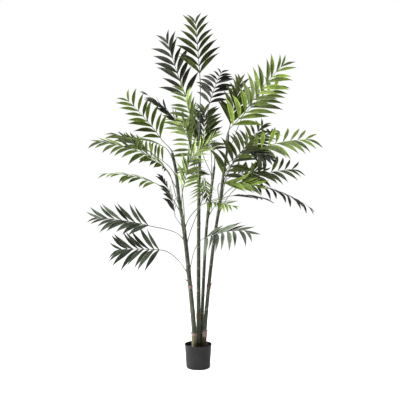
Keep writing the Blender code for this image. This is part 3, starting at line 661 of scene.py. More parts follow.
# name, cane, height of the stem's foot, where the leaflets begin, tip of the rib, the way the
# upper face looks, fold and lean of the left and of the right row of leaflets in degrees, their
# twist in degrees, how far they hang as a share of their length, longest leaflet, tint
FRONDS = [
    ("crown_top", "centre", TOP, (0.01, 0.01, 1.72), (-0.015, 0.01, 2.03), (0, -1, 0.15),
     (8, 54), (8, 54), 16, 0.0, 0.155, "olive"),
    ("top_left", "centre", 1.38, (-0.07, 0.1, 1.595), (-0.185, 0.14, 1.945), (-0.2, -0.96, 0.1),
     (8, 47), (10, 44), 16, 0.0, 0.165, "dark"),
    ("top_right_back", "middle", TOP, (0.065, 0.12, 1.565), (0.145, 0.3, 1.8), (0, -0.7, 0.7),
     (5, 54), (5, 60), 66, 0.12, 0.145, "dark"),
    ("upper_right", "right", 1.28, (0.29, 0.0, 1.53), (0.485, -0.04, 1.765), (-0.25, -0.9, 0.35),
     (14, 52), (8, 60), 16, 0.0, 0.165, "bright"),
    ("upper_right_lower", "right", 1.22, (0.19, -0.03, 1.41), (0.46, 0.1, 1.665),
     (-0.1, -0.93, 0.35), (8, 56), (0, 48), 16, 0.03, 0.195, "bright"),
    ("right_upright", "right", TOP, (0.19, 0.07, 1.43), (0.255, 0.12, 1.69), (0, -0.95, 0.25),
     (15, 42), (10, 34), 24, 0.0, 0.155, "olive"),
    ("right_arch", "right", 1.19, (0.315, -0.02, 1.27), (0.62, -0.08, 1.335), (0, -0.4, 0.92),
     (42, 74), (-8, 40), 16, 0.26, 0.175, "bright"),
    ("right_back_rise", "right", 1.15, (0.3, 0.1, 1.28), (0.465, 0.28, 1.425), (0, -0.5, 0.85),
     (10, 50), (0, 54), 30, 0.1, 0.12, "olive"),
    ("right_low_arch", "right", 1.0, (0.26, -0.06, 1.095), (0.535, -0.12, 1.16), (0, -0.4, 0.92),
     (42, 80), (-10, 42), 16, 0.24, 0.15, "olive"),
    ("right_front", "right", 0.95, (0.135, -0.12, 1.085), (0.325, -0.2, 1.065), (0, -0.85, 0.5),
     (0, 32), (0, 26), 16, 0.04, 0.145, "bright"),
    ("right_droop_back", "right", 0.92, (0.33, 0.12, 1.085), (0.685, 0.18, 0.945),
     (0.2, -0.05, 0.97), (0, 36), (-30, 76), 16, 0.1, 0.11, "dark"),
    ("low_right_back", "middle", 0.9, (0.19, 0.12, 1.01), (0.43, 0.26, 0.99), (0, 0.05, 1),
     (6, 34), (-10, 40), 16, 0.03, 0.12, "dark"),
    ("low_front_right", "left", 0.83, (0.045, -0.11, 0.97), (0.185, -0.27, 0.955), (0, -0.8, 0.6),
     (0, 38), (0, 40), 24, 0.04, 0.1, "bright"),
    ("hanging_right", "left", 0.59, (0.035, -0.12, 0.77), (0.255, -0.22, 0.82), (0, -0.3, 0.95),
     (50, 28), (-8, 78), 16, 0.24, 0.165, "grey"),
    ("low_left", "left", 0.76, (-0.275, -0.05, 0.835), (-0.555, -0.12, 0.885), (0, -0.9, 0.4),
     (30, 46), (0, 48), 16, 0.03, 0.165, "grey"),
    ("lowest_left", "left", 0.57, (-0.215, -0.04, 0.695), (-0.435, -0.12, 0.705), (0, -0.92, 0.38),
     (0, 46), (10, 54), 20, 0.05, 0.165, "grey"),
    ("left_dark_rise", "left", 0.82, (-0.14, 0.03, 0.905), (-0.21, 0.12, 1.11), (0.9, -0.4, 0.15),
     (0, 66), (0, 40), 45, 0.1, 0.115, "dark"),
    ("left_level", "left", 0.93, (-0.24, -0.02, 1.08), (-0.535, 0.02, 1.145), (0, -0.12, 1),
     (-10, 76), (14, 30), 16, 0.07, 0.13, "bright"),
    ("left_front_level", "left", 1.06, (-0.25, -0.1, 1.225), (-0.54, -0.18, 1.31), (0, -0.6, 0.8),
     (0, 50), (10, 34), 16, 0.1, 0.145, "bright"),
    ("left_back_level", "left", 1.13, (-0.275, 0.03, 1.265), (-0.485, 0.1, 1.38), (0.1, -0.6, 0.8),
     (0, 34), (10, 28), 16, 0.05, 0.145, "olive"),
    ("left_front", "left", 1.22, (-0.19, -0.14, 1.285), (-0.325, -0.24, 1.32), (0, -0.15, 1),
     (-45, 84), (10, 46), 16, 0.05, 0.135, "bright"),
    ("left_inner", "left", 0.97, (-0.175, -0.11, 1.155), (-0.285, -0.26, 1.215), (0, -0.75, 0.65),
     (0, 38), (8, 36), 30, 0.04, 0.11, "bright"),
    ("upper_left", "left", TOP, (-0.21, -0.06, 1.335), (-0.4, -0.08, 1.555), (0.3, -0.9, 0.3),
     (8, 52), (14, 60), 16, 0.0, 0.14, "bright"),
    ("upper_left_edge", "centre", 1.2, (-0.11, 0.13, 1.44), (-0.315, 0.2, 1.64), (0.3, -0.5, 0.8),
     (-10, 32), (10, 32), 36, 0.0, 0.12, "dark"),
    ("centre_pale", "left", 0.86, (-0.07, -0.15, 1.19), (0.075, -0.3, 1.32), (0, -1, 0.1),
     (0, 34), (0, 34), 34, 0.0, 0.12, "light"),
    ("centre_front", "centre", 1.08, (-0.035, -0.1, 1.235), (-0.08, -0.14, 1.435), (0, -0.95, 0.3),
     (0, 76), (0, 30), 16, 0.03, 0.115, "light"),
    ("centre_left", "centre", 1.28, (-0.03, 0.0, 1.4), (-0.08, -0.06, 1.615), (0.1, -0.97, 0.2),
     (0, 68), (5, 26), 16, 0.0, 0.13, "light"),
    ("centre_right_back", "middle", 1.13, (0.025, 0.09, 1.3), (0.04, 0.14, 1.52),
     (0.1, -0.95, 0.25), (5, 50), (5, 46), 10, 0.0, 0.165, "olive"),
    ("centre_back", "centre", 1.33, (-0.005, 0.07, 1.46), (-0.025, 0.19, 1.585), (0, -0.6, 0.7),
     (0, 78), (0, 78), 30, 0.3, 0.055, "dark"),
    ("centre_low", "middle", 0.9, (0.04, -0.07, 1.105), (0.05, -0.18, 1.005), (0, -1, 0),
     (0, 40), (0, 40), 24, 0.02, 0.09, "bright"),
    ("centre_right", "right", 1.03, (0.145, -0.06, 1.115), (0.28, -0.12, 1.305),
     (-0.2, -0.9, 0.35), (8, 72), (5, 54), 16, 0.03, 0.16, "olive"),
    ("right_dark", "right", 1.08, (0.255, -0.06, 1.26), (0.39, -0.2, 1.225), (0, -0.7, 0.7),
     (0, 32), (0, 32), 40, 0.05, 0.14, "dark"),
    ("centre_pale_low", "left", 0.8, (-0.085, -0.2, 1.045), (-0.045, -0.22, 1.22), (0, -1, 0.1),
     (0, 36), (0, 66), 24, 0.0, 0.105, "light"),
    ("centre_low_left", "left", 0.74, (0.025, -0.14, 1.005), (0.005, -0.26, 1.08), (0, -0.9, 0.4),
     (0, 70), (0, 46), 24, 0.04, 0.1, "bright"),
    ("right_inner", "right", 1.1, (0.225, 0.05, 1.225), (0.385, 0.1, 1.425), (-0.2, -0.9, 0.4),
     (8, 62), (5, 40), 16, 0.03, 0.135, "olive"),
    ("right_level", "right", 0.98, (0.195, 0.03, 1.125), (0.385, 0.08, 1.16), (0, -0.75, 0.65),
     (8, 50), (-5, 44), 16, 0.06, 0.14, "olive"),
    ("back_level", "middle", 1.05, (0.08, 0.22, 1.29), (0.06, 0.43, 1.37), (0, 0.1, 1),
     (8, 56), (8, 56), 16, 0.12, 0.15, "olive"),
    ("back_left", "centre", 1.12, (-0.07, 0.22, 1.39), (-0.145, 0.41, 1.515), (-0.1, 0.1, 1),
     (8, 56), (8, 56), 16, 0.12, 0.15, "bright"),
    ("back_low", "centre", 0.85, (-0.015, 0.2, 1.135), (-0.065, 0.41, 1.185), (0, 0.1, 1),
     (8, 56), (8, 56), 16, 0.14, 0.15, "olive"),
]


def hermite(start, start_slope, end, end_slope, t):
    """Cubic from start to end that leaves and arrives along the two slopes, at every t."""
    t = np.asarray(t, float)[..., None]
    rise = t * t * (3 - 2 * t)
    return (
        start * (1 - rise) + end * rise
        + start_slope * (t * (1 - t) ** 2) - end_slope * (t * t * (1 - t))
    )


class Spine:
    """The line of a frond's stem and rib, with the way its upper face looks along it.

    The rib is a shallow arch from shoulder to tip that starts and ends at the arch's angle to its
    chord. The stem springs up along the cane, or out of its top, and runs into the rib.
    """

    def __init__(self, cane, foot_height, shoulder, tip, face):
        """Works out the slopes at foot, shoulder and tip, and the foot's place on its cane."""
        self.cane, self.foot_height = cane, foot_height
        self.shoulder, self.tip = np.array(shoulder), np.array(tip)
        self.face = unit(np.array(face, float))
        chord = self.tip - self.shoulder
        self.rib_length = np.linalg.norm(chord)
        ahead = unit(chord)
        up = square_to(ahead, self.face)
        level, climb = ahead * math.cos(RIB_ARCH), up * math.sin(RIB_ARCH)
        self.leave_shoulder = (level + climb) * self.rib_length
        self.reach_tip = (level - climb) * self.rib_length
        if foot_height is TOP:
            path = cane_path(CANES[cane][0], CANE_STEPS)
            along = unit(path[-1] - path[-2])
            self.foot = path[-1] + along * TOP_GAP
            outward = square_to(along, self.face)
            spring = along
        else:
            centre, along, radius = on_cane(cane, foot_height)
            outward = square_to(along, self.shoulder - centre)
            self.foot = centre + outward * (radius + GAP + STEM_THICKNESS / 2)
            spring = unit(along + outward * STEM_OUTWARD)
        self.along, self.outward = along, outward
        self.radial = outward if outward @ self.face >= 0 else -outward
        self.stem_length = np.linalg.norm(self.shoulder - self.foot)
        self.leave_foot = spring * self.stem_length * STEM_SPRING

    def stem(self, t):
        """Points of the stem, from its foot at 0 to the shoulder at 1."""
        arrive = unit(self.leave_shoulder) * self.stem_length
        return hermite(self.foot, self.leave_foot, self.shoulder, arrive, t)

    def rib(self, t):
        """Points of the rib, from the shoulder at 0 to the tip at 1."""
        return hermite(self.shoulder, self.leave_shoulder, self.tip, self.reach_tip, t)

    def section(self, line, t):
        """Point, direction, sideways and upper face of the stem or rib at t.

        The upper face looks away from the cane at the stem's foot, and turns smoothly on the way
        up to look as the frond does.
        """
        t = np.asarray(t, float)
        ahead = unit(line(np.minimum(t + NEARBY, 1.0)) - line(np.maximum(t - NEARBY, 0.0)))
        turn = (t * t * (3 - 2 * t) if line == self.stem else np.ones_like(t))[..., None]
        upper = square_to(ahead, self.radial * (1 - turn) + self.face * turn)
        return line(t), ahead, np.cross(ahead, upper), upper


def pair_shares(spine):
    """Shares of the rib where each pair of leaflets starts and ends, the last at the very tip."""
    foot = LEAF_FOOT / spine.rib_length
    starts = FIRST_PAIR + (1.0 - foot - FIRST_PAIR) * np.arange(PAIRS) / (PAIRS - 1)
    return starts, starts + foot


def leaflet_set(section, side, share, row, turn, habit, chance):
    """How one leaflet is set on its rib: where, along what, how long, and the way its face looks.

    Its lean from the rib and its length both fall with the cube of the way along. It is folded up
    from the frond's plane by the fold of its row and the turn. chance loosens lean, fold and
    length, in that order. Its tip sinks away from the way its back looks, and hangs down besides.
    """
    place, ahead, sideways, upper = section
    fold, lean = (math.radians(angle) for angle in row)
    twist, hang, longest = habit
    lean = lean - LEAN_LOSS * share**3 + chance.uniform(-LOOSE_ANGLE, LOOSE_ANGLE)
    fold = fold + math.radians(turn) + chance.uniform(-LOOSE_ANGLE, LOOSE_ANGLE)
    size = longest * (1 - LENGTH_LOSS * share**3)
    size *= 1 + chance.uniform(-LOOSE_LENGTH, LOOSE_LENGTH)
    out = sideways * side * math.cos(fold) + upper * math.sin(fold)
    back = upper * math.cos(fold) - sideways * side * math.sin(fold)
    sink = (DOWN * hang - back * LEAF_DROOP) * size
    return {"place": place, "ahead": ahead, "out": out, "back": back, "sink": sink,
            "lean": lean, "size": size, "side": side, "twist": math.radians(twist),
            "width": size * LEAF_SLIMNESS}


def leaflet_sheets(leaf):
    """A plain leaflet's outer part as triangles, and what keeps its surroundings clear.

    The sheet is a kite cut off near its foot, widest at the widest point and drawn to the tip. Two
    copies of it stand off by the clearance, one on each side, with the rim between them.
    """
    line = leaf["ahead"] * math.cos(leaf["lean"]) + leaf["out"] * math.sin(leaf["lean"])
    flat = leaf["ahead"] * math.sin(leaf["lean"]) - leaf["out"] * math.cos(leaf["lean"])
    across = flat * math.cos(leaf["twist"]) + leaf["back"] * math.sin(leaf["twist"])
    facing = leaf["back"] * math.cos(leaf["twist"]) - flat * math.sin(leaf["twist"])
    middle = leaf["place"] + line * leaf["size"] * WIDEST_AT + leaf["sink"] * WIDEST_AT**2
    low, high = middle - across * leaf["width"] / 2, middle + across * leaf["width"] / 2
    tip = leaf["place"] + line * leaf["size"] + leaf["sink"]
    inner_low = leaf["place"] * (1 - CLEAR_FROM) + low * CLEAR_FROM
    inner_high = leaf["place"] * (1 - CLEAR_FROM) + high * CLEAR_FROM
    sheet = np.array([[inner_low, inner_high, high], [inner_low, high, low], [low, high, tip]])
    here = np.array([inner_low, low, tip, high, inner_high])
    ahead = np.roll(here, -1, axis=0)
    rim = facing * RIM_CLEARANCE
    around = np.concatenate([
        np.stack([here - rim, ahead - rim, ahead + rim], axis=1),
        np.stack([here - rim, ahead + rim, here + rim], axis=1),
    ])
    return sheet, [sheet - facing * LEAF_CLEARANCE, sheet + facing * LEAF_CLEARANCE, around]


def tree_of(triangles):
    """A search tree over lists of triangles, which finds the ones that cross."""
    corners = np.concatenate(triangles).reshape(-1, 3)
    return BVHTree.FromPolygons(corners.tolist(), np.arange(len(corners)).reshape(-1, 3).tolist())


def strip(left, right):
    """The triangles between two rows of points."""
    low = np.stack([left[:-1], right[:-1], right[1:]], axis=1)
    return np.concatenate([low, np.stack([left[:-1], right[1:], left[1:]], axis=1)])


def cane_walls():
    """The canes' sides as triangles, which leaflets stay clear of."""
    circle = level_circle(2 * math.pi * np.arange(WALL_SIDES + 1) / WALL_SIDES)
    for name in CANES:
        path = cane_path(CANES[name][0], CANE_STEPS)
        rings = path[:, None] + circle * taper(name, path[:, 2])[:, None, None]
        for i in range(WALL_SIDES):
            yield strip(rings[:, i], rings[:, i + 1])


def ribbon_walls(spine):
    """The flat ribbon of a stem and rib as triangles, its width falling evenly along the rib."""
    on_stem = np.arange(WALL_STEPS) / WALL_STEPS
    on_rib = np.stack(pair_shares(spine), axis=1).ravel()
    stem, rib = spine.section(spine.stem, on_stem), spine.section(spine.rib, on_rib)
    places, sideways = (np.concatenate([stem[i], rib[i]]) for i in (0, 2))
    widths = np.concatenate([0 * on_stem, on_rib]) * (RIB_TIP_WIDTH - STEM_WIDTH) + STEM_WIDTH
    half = sideways * widths[:, None] / 2
    return strip(places - half, places + half)


def kept_leaflets(spines):
    """All leaflets that stay clear of canes, ribs and earlier leaflets.

    One that would touch is turned up or down about the rib in small steps, and skipped if none of
    the turns clears it.
    """
    walls = [*cane_walls(), *(ribbon_walls(spine) for spine in spines.values())]
    kept = []
    for number, (name, *_, left_row, right_row, twist, hang, longest, tint) in enumerate(FRONDS):
        spine, habit = spines[name], (twist, hang, longest)
        for pair, share in enumerate(np.mean(pair_shares(spine), axis=0)):
            section = spine.section(spine.rib, share)
            for side, row in ((-1, left_row), (1, right_row)):
                tree = tree_of(walls)
                for turn in TURNS_TRIED:
                    chance = random.Random(1000 * number + 10 * pair + side)
                    leaf = leaflet_set(section, side, share, row, turn, habit, chance)
                    sheet, around = leaflet_sheets(leaf)
                    if not tree_of([sheet, *around]).overlap(tree):
                        kept.append({**leaf, "tint": tint})
                        walls.append(sheet)
                        break
    return kept


spines = {name: Spine(*rest[:5]) for name, *rest in FRONDS}
tints = {name: rest[-1] for name, *rest in FRONDS}
leaves = kept_leaflets(spines)

# ------------------------------------------------------------------------------ stems and ribs
# The stem and rib of a frond are one wire under moulded plastic: a rounded bar, a little wider
# than it is thick, that thins towards the tip. At its foot it flares into the socket that joins
# it to the cane. The plastic is streaked and flecked in a green that goes with its leaflets, pale
# and greyish for the dark, olive and grey fronds: partly the ribs' own pale colour and partly
# painted highlight, where the ribs catch the light.
STEM_SIDES = 8
STEM_RINGS = 26
RIB_RINGS = 30
FLARE_REACH = 0.020
TOP_FLARE = 0.9
SIDE_FLARE = 0.5
RIB_END = 0.003
STEM_BUMP = 0.0002
# tint: stem colour; the pale grey-greens are partly painted highlight on the ribs
STEM_COLOURS = {
    "bright": (0.090, 0.135, 0.035, 1.0),
    "olive": (0.115, 0.130, 0.085, 1.0),
    "light": (0.150, 0.200, 0.085, 1.0),
    "dark": (0.100, 0.110, 0.092, 1.0),
    "grey": (0.085, 0.098, 0.070, 1.0),
}


def shaded(colour, by, plus=0.0):
    """The colour times by, plus a little, with no part over 1."""
    return (*(min(1.0, part * by + plus) for part in colour[:3]), 1.0)


def stem_paint(tree, place, colour):
    """Moulded plastic: clouds of the colour and of a darker shade of it, and a satin face."""
    clouds = noise(tree, place["Object"], 90.0, 4.0)
    share = remap(tree, clouds, 0.38, 0.56)
    return {
        "Base Color": blend_colours(tree, share, shaded(colour, 0.45), colour),
        "Roughness": remap(tree, clouds, 0.3, 0.7, 0.35, 0.55),
        "Height": noise(tree, place["Object"], 700.0, 2.0),
    }


def stem_skin(spine):
    """Rings round the stem and rib, and their UV map.

    Width and thickness fall evenly along the rib. Both swell at the foot by a flare that dies away
    exponentially, and they narrow over the last millimetres of the tip.
    """
    on_stem = np.linspace(0, 1, STEM_RINGS, endpoint=False) ** 1.3
    on_rib = np.linspace(0, 1, RIB_RINGS)
    stem, rib = spine.section(spine.stem, on_stem), spine.section(spine.rib, on_rib)
    places, _, sideways, upper = (np.concatenate(pair) for pair in zip(stem, rib))
    share = np.concatenate([0 * on_stem, on_rib])
    width = STEM_WIDTH + (RIB_TIP_WIDTH - STEM_WIDTH) * share
    thickness = STEM_THICKNESS + (LEAF_THICKNESS - STEM_THICKNESS) * share
    turn = np.linspace(0, 2 * math.pi, STEM_SIDES + 1)
    uv = wrapped_uv(turn, places)
    run = uv[:, 0, 1]
    flare = TOP_FLARE if spine.foot_height is TOP else SIDE_FLARE
    swell = 1 + np.exp(-run / FLARE_REACH) * flare
    half = swell * np.clip((run[-1] - run) / RIB_END, 0.25, 1.0) / 2
    right = (np.cos(turn) * (width * half)[:, None])[..., None] * -sideways[:, None]
    rise = (np.sin(turn) * (thickness * half)[:, None])[..., None] * upper[:, None]
    return (places[:, None] + right + rise)[:, :-1], uv


stem_points, stem_uv = (np.stack(part) for part in zip(*map(stem_skin, spines.values())))
stem_slots = np.array([[list(STEM_COLOURS).index(tint)] * STEM_SIDES for tint in tints.values()])
stem_paints = [new_material(f"stem_{tint}", STEM_BUMP, stem_paint, colour)
               for tint, colour in STEM_COLOURS.items()]
stems = closed_skin("stems_and_ribs", stem_points, stem_uv, stem_paints, stem_slots)
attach(stems, "root")

# ------------------------------------------------------------------------------------- sockets
# Short sleeves of moulded green plastic that clasp the cane where a stem leaves it, like the foot
# of a leaf stalk. Each is slid on with its stem, is drawn up on the stem's side and ends in a
# thin lip.
CLASP_SIDES = 16
CLASP_DROP = 0.020
CLASP_RISE = 0.0168
CLASP_WALL = 0.00091
CLASP_BULGE = 0.00117
CLASP_GREEN = (0.075, 0.085, 0.050, 1.0)
# share of the way up, share of the wall
CLASP_PROFILE = np.array(
    [(0.0, -0.8), (0.0, 0.1), (0.25, 0.55), (0.6, 0.9), (0.9, 1.1), (1.0, 1.0), (1.0, -0.8)]
)


def clasp_skin(spine):
    """A sleeve round the cane, higher and thicker towards the stem by a squared raised cosine."""
    along, out = spine.along, spine.outward
    centre, _, radius = on_cane(spine.cane, spine.foot_height)
    turn = np.linspace(0, 2 * math.pi, CLASP_SIDES, endpoint=False)
    around = np.cos(turn)[:, None] * out + np.sin(turn)[:, None] * np.cross(along, out)
    facing = (0.5 + 0.5 * np.cos(turn)) ** 2
    climb, wall = CLASP_PROFILE[:, :1], CLASP_PROFILE[:, 1:]
    height = climb * (CLASP_DROP + CLASP_RISE * facing) - CLASP_DROP
    reach = radius + wall * (CLASP_WALL + CLASP_BULGE * facing)
    return centre + along * height[..., None] + around * reach[..., None]


side_spines = [spine for spine in spines.values() if spine.foot_height is not TOP]
clasp_points = np.stack([clasp_skin(spine) for spine in side_spines])
clasp_green = new_material("clasp_green", STEM_BUMP, stem_paint, CLASP_GREEN)
clasps = closed_skin("stem_clasps", clasp_points, None, [clasp_green])
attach(clasps, "root")

# ------------------------------------------------------------------------------------ leaflets
# Thin blades of printed cloth, stamped with a midrib and glued to the rib: narrow at the foot,
# widest before the middle and drawn out to a point. They bend away from the rib and are cupped
# along the midrib. Each frond has a tint, printed in three shades above and a duller one below.
# The near-black dark tint is partly the leaves' own deep green and partly painted shade, for
# fronds that stand in shadow against the light.
LEAF_STATIONS = np.array([0.0, 0.06, 0.14, 0.24, 0.35, 0.46, 0.58, 0.70, 0.82, 0.92, 1.0])
LEAF_ACROSS = np.array([1.0, 0.5, 0.0, -0.5, -1.0, -0.5, 0.0, 0.5])
LEAF_FACE = np.array([0, 1, 1, 1, 0, -1, -1, -1])
UPPER_SIDES = 4
LEAF_CUP = 0.26
LEAF_BEND = math.radians(36)
BEND_SPREAD = (0.7, 1.3)
TWIST_SPREAD = (0.5, 1.5)
WIDTH_SPREAD = (0.9, 1.08)
BLADE = 0.0008
MIDRIB = 0.0012
POINT_BLADE = 0.35
OUTLINE_POWER = 1.25
FOOT_WIDTH = 0.10
POINT_WIDTH = 0.012

# tint: upper side, lower side, roughness
LEAF_COLOURS = {
    "bright": ((0.124, 0.180, 0.022, 1.0), (0.165, 0.225, 0.055, 1.0), 0.42),
    "olive": ((0.044, 0.062, 0.005, 1.0), (0.062, 0.082, 0.018, 1.0), 0.46),
    "light": ((0.300, 0.395, 0.130, 1.0), (0.300, 0.370, 0.160, 1.0), 0.45),
    # dark: near black, partly the leaves' own deep green and partly painted shade
    "dark": ((0.012, 0.016, 0.006, 1.0), (0.021, 0.027, 0.014, 1.0), 0.38),
    "grey": ((0.118, 0.142, 0.098, 1.0), (0.150, 0.172, 0.128, 1.0), 0.40),
}
SHADE_STEPS = (0.60, 1.0, 1.45)
SHADE_ODDS = (0.3, 0.45, 0.25)
UNDER_ROUGHER = 0.08
LEAF_BUMP = 0.00025

# The print that all the tints share: fine ribbing along the blade, a pale midrib, blotches, and
# lighter margins where the cloth is worn.
leaf_print = bpy.data.node_groups.new("leaf_print", "ShaderNodeTree")
COLOUR, NUMBER, VECTOR = "NodeSocketColor", "NodeSocketFloat", "NodeSocketVector"
for way, label, kind in (
    ("INPUT", "Colour", COLOUR), ("INPUT", "Vein", COLOUR),
    ("INPUT", "Place", VECTOR), ("INPUT", "Blade", VECTOR),
    ("OUTPUT", "Colour", COLOUR), ("OUTPUT", "Roughness", NUMBER), ("OUTPUT", "Height", NUMBER),
):
    leaf_print.interface.new_socket(label, in_out=way, socket_type=kind)
leaf_in = leaf_print.nodes.new("NodeGroupInput").outputs
leaf_out = leaf_print.nodes.new("NodeGroupOutput").inputs
across = node(leaf_print, "ShaderNodeSeparateXYZ", {0: leaf_in["Blade"]}).outputs[0]
from_rib = maths(leaf_print, "ABSOLUTE", maths(leaf_print, "SUBTRACT", across, 0.5))
ribbing = maths(leaf_print, "SINE", maths(leaf_print, "MULTIPLY", across, 88.0))
midrib = remap(leaf_print, from_rib, 0.02, 0.06, 1.0, 0.0)
mottle = noise(leaf_print, leaf_in["Place"], 55.0, 4.0)
frayed = maths(leaf_print, "ADD", from_rib, maths(leaf_print, "MULTIPLY", mottle, 0.30))
margin = remap(leaf_print, frayed, 0.42, 0.60, 0.0, 0.85)
patches = remap(leaf_print, noise(leaf_print, leaf_in["Place"], 16.0), 0.36, 0.64, 0.55, 1.25)
shade = maths(leaf_print, "MULTIPLY", remap(leaf_print, mottle, 0.30, 0.70, 0.80, 1.15), patches)
shade = maths(leaf_print, "ADD", shade, margin)
tint_and_shade = {0: leaf_in["Colour"], "Scale": shade}
tinted = node(leaf_print, "ShaderNodeVectorMath", tint_and_shade, operation="SCALE").outputs[0]
veins = maths(leaf_print, "MAXIMUM", midrib, remap(leaf_print, ribbing, 0.4, 1.0, 0.0, 0.22))
veins = maths(leaf_print, "MULTIPLY", veins, 0.55)
relief = maths(leaf_print, "ADD", maths(leaf_print, "MULTIPLY", ribbing, 0.5), mottle)
leaf_print.links.new(blend_colours(leaf_print, veins, tinted, leaf_in["Vein"]), leaf_out["Colour"])
leaf_print.links.new(remap(leaf_print, mottle, 0.3, 0.7, -0.06, 0.06), leaf_out["Roughness"])
leaf_print.links.new(relief, leaf_out["Height"])


def leaf_paint(tree, place, colour, roughness):
    """Printed cloth: the colour mottled and veined by the shared print, with a soft gloss."""
    inputs = {"Colour": colour, "Vein": shaded(colour, 1.5, 0.02),
              "Place": place["Object"], "Blade": place["UV"]}
    printed = node(tree, "ShaderNodeGroup", inputs, node_tree=leaf_print).outputs
    return {
        "Base Color": printed["Colour"],
        "Roughness": maths(tree, "ADD", printed["Roughness"], roughness),
        "Height": printed["Height"],
    }


def outline(along):
    """Half-width of a leaflet as a share of its widest.

    It is a power of the way along times a power of the way left, widest where it should be, plus a
    short stalk and a little width all along.
    """
    fall = OUTLINE_POWER * (1 - WIDEST_AT) / WIDEST_AT
    peak = WIDEST_AT**OUTLINE_POWER * (1 - WIDEST_AT) ** fall
    blade = along**OUTLINE_POWER * (1 - along) ** fall / peak
    return blade + FOOT_WIDTH * (1 - along) ** 6 + POINT_WIDTH


def blades(chosen, draw):
    """Closed blades for these leaflets: (leaflets, stations, points round, 3), and their UV map.

    The midline is an arc in the leaflet's plane: its angle from the rib grows evenly from lean
    less half the bend to lean plus half, and its chord keeps the leaflet's length. It sinks with
    the square of the way along, and the blade twists more towards the tip. A section is a shallow
    trough of the outline's width, thickest at the midrib and closed at both edges.
    """
    count = len(chosen)
    keys = ("place", "ahead", "out", "back", "sink", "lean", "size", "side", "twist", "width")
    place, ahead, out, back, sink, lean, size, side, turned_by, width = (
        np.array([leaf[key] for leaf in chosen])[:, None] for key in keys
    )
    along = LEAF_STATIONS
    bend = LEAF_BEND * draw.uniform(*BEND_SPREAD, (count, 1))
    start = lean - bend / 2
    angle = start + bend * along
    keep = size * (bend / 2) / np.sin(bend / 2)
    forward = (np.sin(angle) - np.sin(start)) / bend * keep
    outward = (np.cos(start) - np.cos(angle)) / bend * keep
    middle = place + ahead * forward[..., None] + out * outward[..., None]
    middle += sink * (along**2)[:, None]
    line = unit(np.gradient(middle, along, axis=1))
    across = ahead * np.sin(angle)[..., None] - out * np.cos(angle)[..., None]
    twist = turned_by * draw.uniform(*TWIST_SPREAD, (count, 1)) * (0.6 + 0.8 * along)
    across = across * np.cos(twist)[..., None] + back * np.sin(twist)[..., None]
    across = square_to(line, across) * side[..., None]
    above = np.cross(line, across)
    half = (outline(along) * width / 2 * draw.uniform(*WIDTH_SPREAD, (count, 1)))[..., None]
    rise = LEAF_CUP * np.abs(LEAF_ACROSS) ** 0.8 * half
    thick = LEAF_FACE * np.where(LEAF_ACROSS == 0, MIDRIB, BLADE) / 2
    thick = thick * (1 - (1 - POINT_BLADE) * along)[:, None]
    points = (
        middle[:, :, None]
        + across[:, :, None] * (LEAF_ACROSS * half)[..., None]
        + above[:, :, None] * (rise + thick)[..., None]
    )
    uv_across = np.append(LEAF_ACROSS, LEAF_ACROSS[0]) / 2 + 0.5
    uv = np.stack(np.broadcast_arrays(uv_across, along[:, None]), axis=2)
    return points, np.broadcast_to(uv, (count, *uv.shape))


for number, (tint, (upper, lower, roughness)) in enumerate(LEAF_COLOURS.items()):
    draw = np.random.default_rng(40 + number)
    chosen = [leaf for leaf in leaves if leaf["tint"] == tint]
    leaf_points, leaf_uv = blades(chosen, draw)
    faces = [(i, shaded(upper, step), roughness) for i, step in enumerate(SHADE_STEPS)]
    faces.append(("under", lower, roughness + UNDER_ROUGHER))
    paints = [
        new_material(f"leaf_{tint}_{face}", LEAF_BUMP, leaf_paint, *paint, Specular_IOR_Level=0.3)
        for face, *paint in faces
    ]
    slots = np.full((len(chosen), len(LEAF_ACROSS)), len(SHADE_STEPS))
    slots[:, :UPPER_SIDES] = draw.choice(len(SHADE_STEPS), (len(chosen), 1), p=SHADE_ODDS)
    piece = closed_skin(f"leaflets_{tint}", leaf_points, leaf_uv, paints, slots, crease=24.0)
    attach(piece, "root")
    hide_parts(*(f"frond_{name}" for name in spines if tints[name] == tint))

# ------------------------------------------------------------------------------------- studio
# A white sweep in an evenly lit room. A soft square lamp stands on the left, a broad one hangs
# overhead, and a weak one lights the back from the right. The camera is level, at half the palm's
# height.
BACKGROUND = 1.0
ROOM_LIGHT = 0.13
FLOOR_REACH = 30.0
FLOOR_GLOW = 0.95
PAPER_TONES = ((0.94, 0.94, 0.94, 1.0), (0.96, 0.96, 0.96, 1.0))
GLOW_TONES = ((0.18, 0.18, 0.18, 1.0), (1.0, 1.0, 1.0, 1.0))
# name: place, the point it looks at, width, power
LAMPS = {
    "key": ((-3.4, -0.7, 1.8), (0.0, 0.0, 1.0), 1.3, 195.0),
    "overhead": ((-0.4, -0.5, 4.4), (0.0, 0.0, 1.2), 2.0, 120.0),
    "fill": ((2.8, 1.3, 1.4), (0.0, 0.0, 1.0), 1.2, 16.0),
}
CAMERA_DISTANCE = 3.5
CAMERA_HEIGHT = 0.987
SENSOR = 36.0
METRES_PER_PIXEL = 0.0059
FRAME_PIXELS = 400
AXIS_PIXEL = 198.2

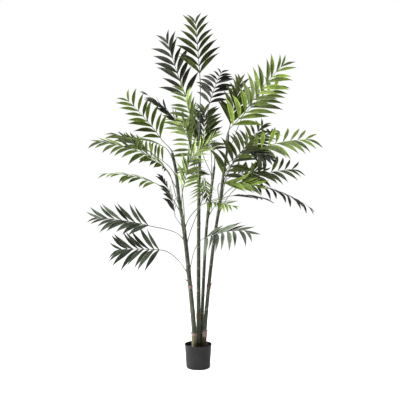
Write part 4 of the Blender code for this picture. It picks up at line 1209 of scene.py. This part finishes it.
world = bpy.data.worlds.new("studio")
world.use_nodes = True
bpy.context.scene.world = world
tree = world.node_tree
room = tree.nodes["Background"]
room.inputs["Color"].default_value = (1.0, 1.0, 1.0, 1.0)
seen = tree.nodes.new("ShaderNodeLightPath").outputs["Is Camera Ray"]
tree.links.new(remap(tree, seen, 0.0, 1.0, ROOM_LIGHT, BACKGROUND), room.inputs["Strength"])


def paper_paint(tree, place):
    """White paper with faint clouds. It glows white to the camera and only dimly to all else, so
    that it stays white under the lamps and casts little light up."""
    seen = tree.nodes.new("ShaderNodeLightPath").outputs["Is Camera Ray"]
    return {
        "Base Color": blend_colours(tree, noise(tree, place["Object"], 2.0, 2.0), *PAPER_TONES),
        "Emission Color": blend_colours(tree, seen, *GLOW_TONES),
    }


floor_mesh = bpy.data.meshes.new("floor")
floor_corners = FLOOR_REACH * np.array([(-1, -1, 0), (1, -1, 0), (1, 1, 0), (-1, 1, 0)])
floor_mesh.from_pydata(floor_corners, [], [(0, 1, 2, 3)])
floor_mesh.materials.append(
    new_material("paper", None, paper_paint, Roughness=0.9, Emission_Strength=FLOOR_GLOW)
)
floor = bpy.data.objects.new("floor", floor_mesh)
bpy.context.scene.collection.objects.link(floor)

for name, (stand, aim, width, power) in LAMPS.items():
    light = bpy.data.lights.new(name, "AREA")
    light.shape = "SQUARE"
    light.size = width
    light.energy = power
    lamp = bpy.data.objects.new(name, light)
    bpy.context.scene.collection.objects.link(lamp)
    lamp.location = stand
    lamp.rotation_euler = (Vector(aim) - Vector(stand)).to_track_quat("-Z", "Y").to_euler()

camera = bpy.data.cameras.new("camera")
half_frame = FRAME_PIXELS / 2
camera.sensor_width = SENSOR
camera.lens = SENSOR / 2 * CAMERA_DISTANCE / (half_frame * METRES_PER_PIXEL)
camera.shift_x = (half_frame - AXIS_PIXEL) / FRAME_PIXELS
view = bpy.data.objects.new("camera", camera)
view.location = (0.0, -CAMERA_DISTANCE, CAMERA_HEIGHT)
view.rotation_euler = (math.pi / 2, 0.0, 0.0)
bpy.context.scene.collection.objects.link(view)
bpy.context.scene.camera = view
bpy.context.scene.view_settings.view_transform = "Standard"
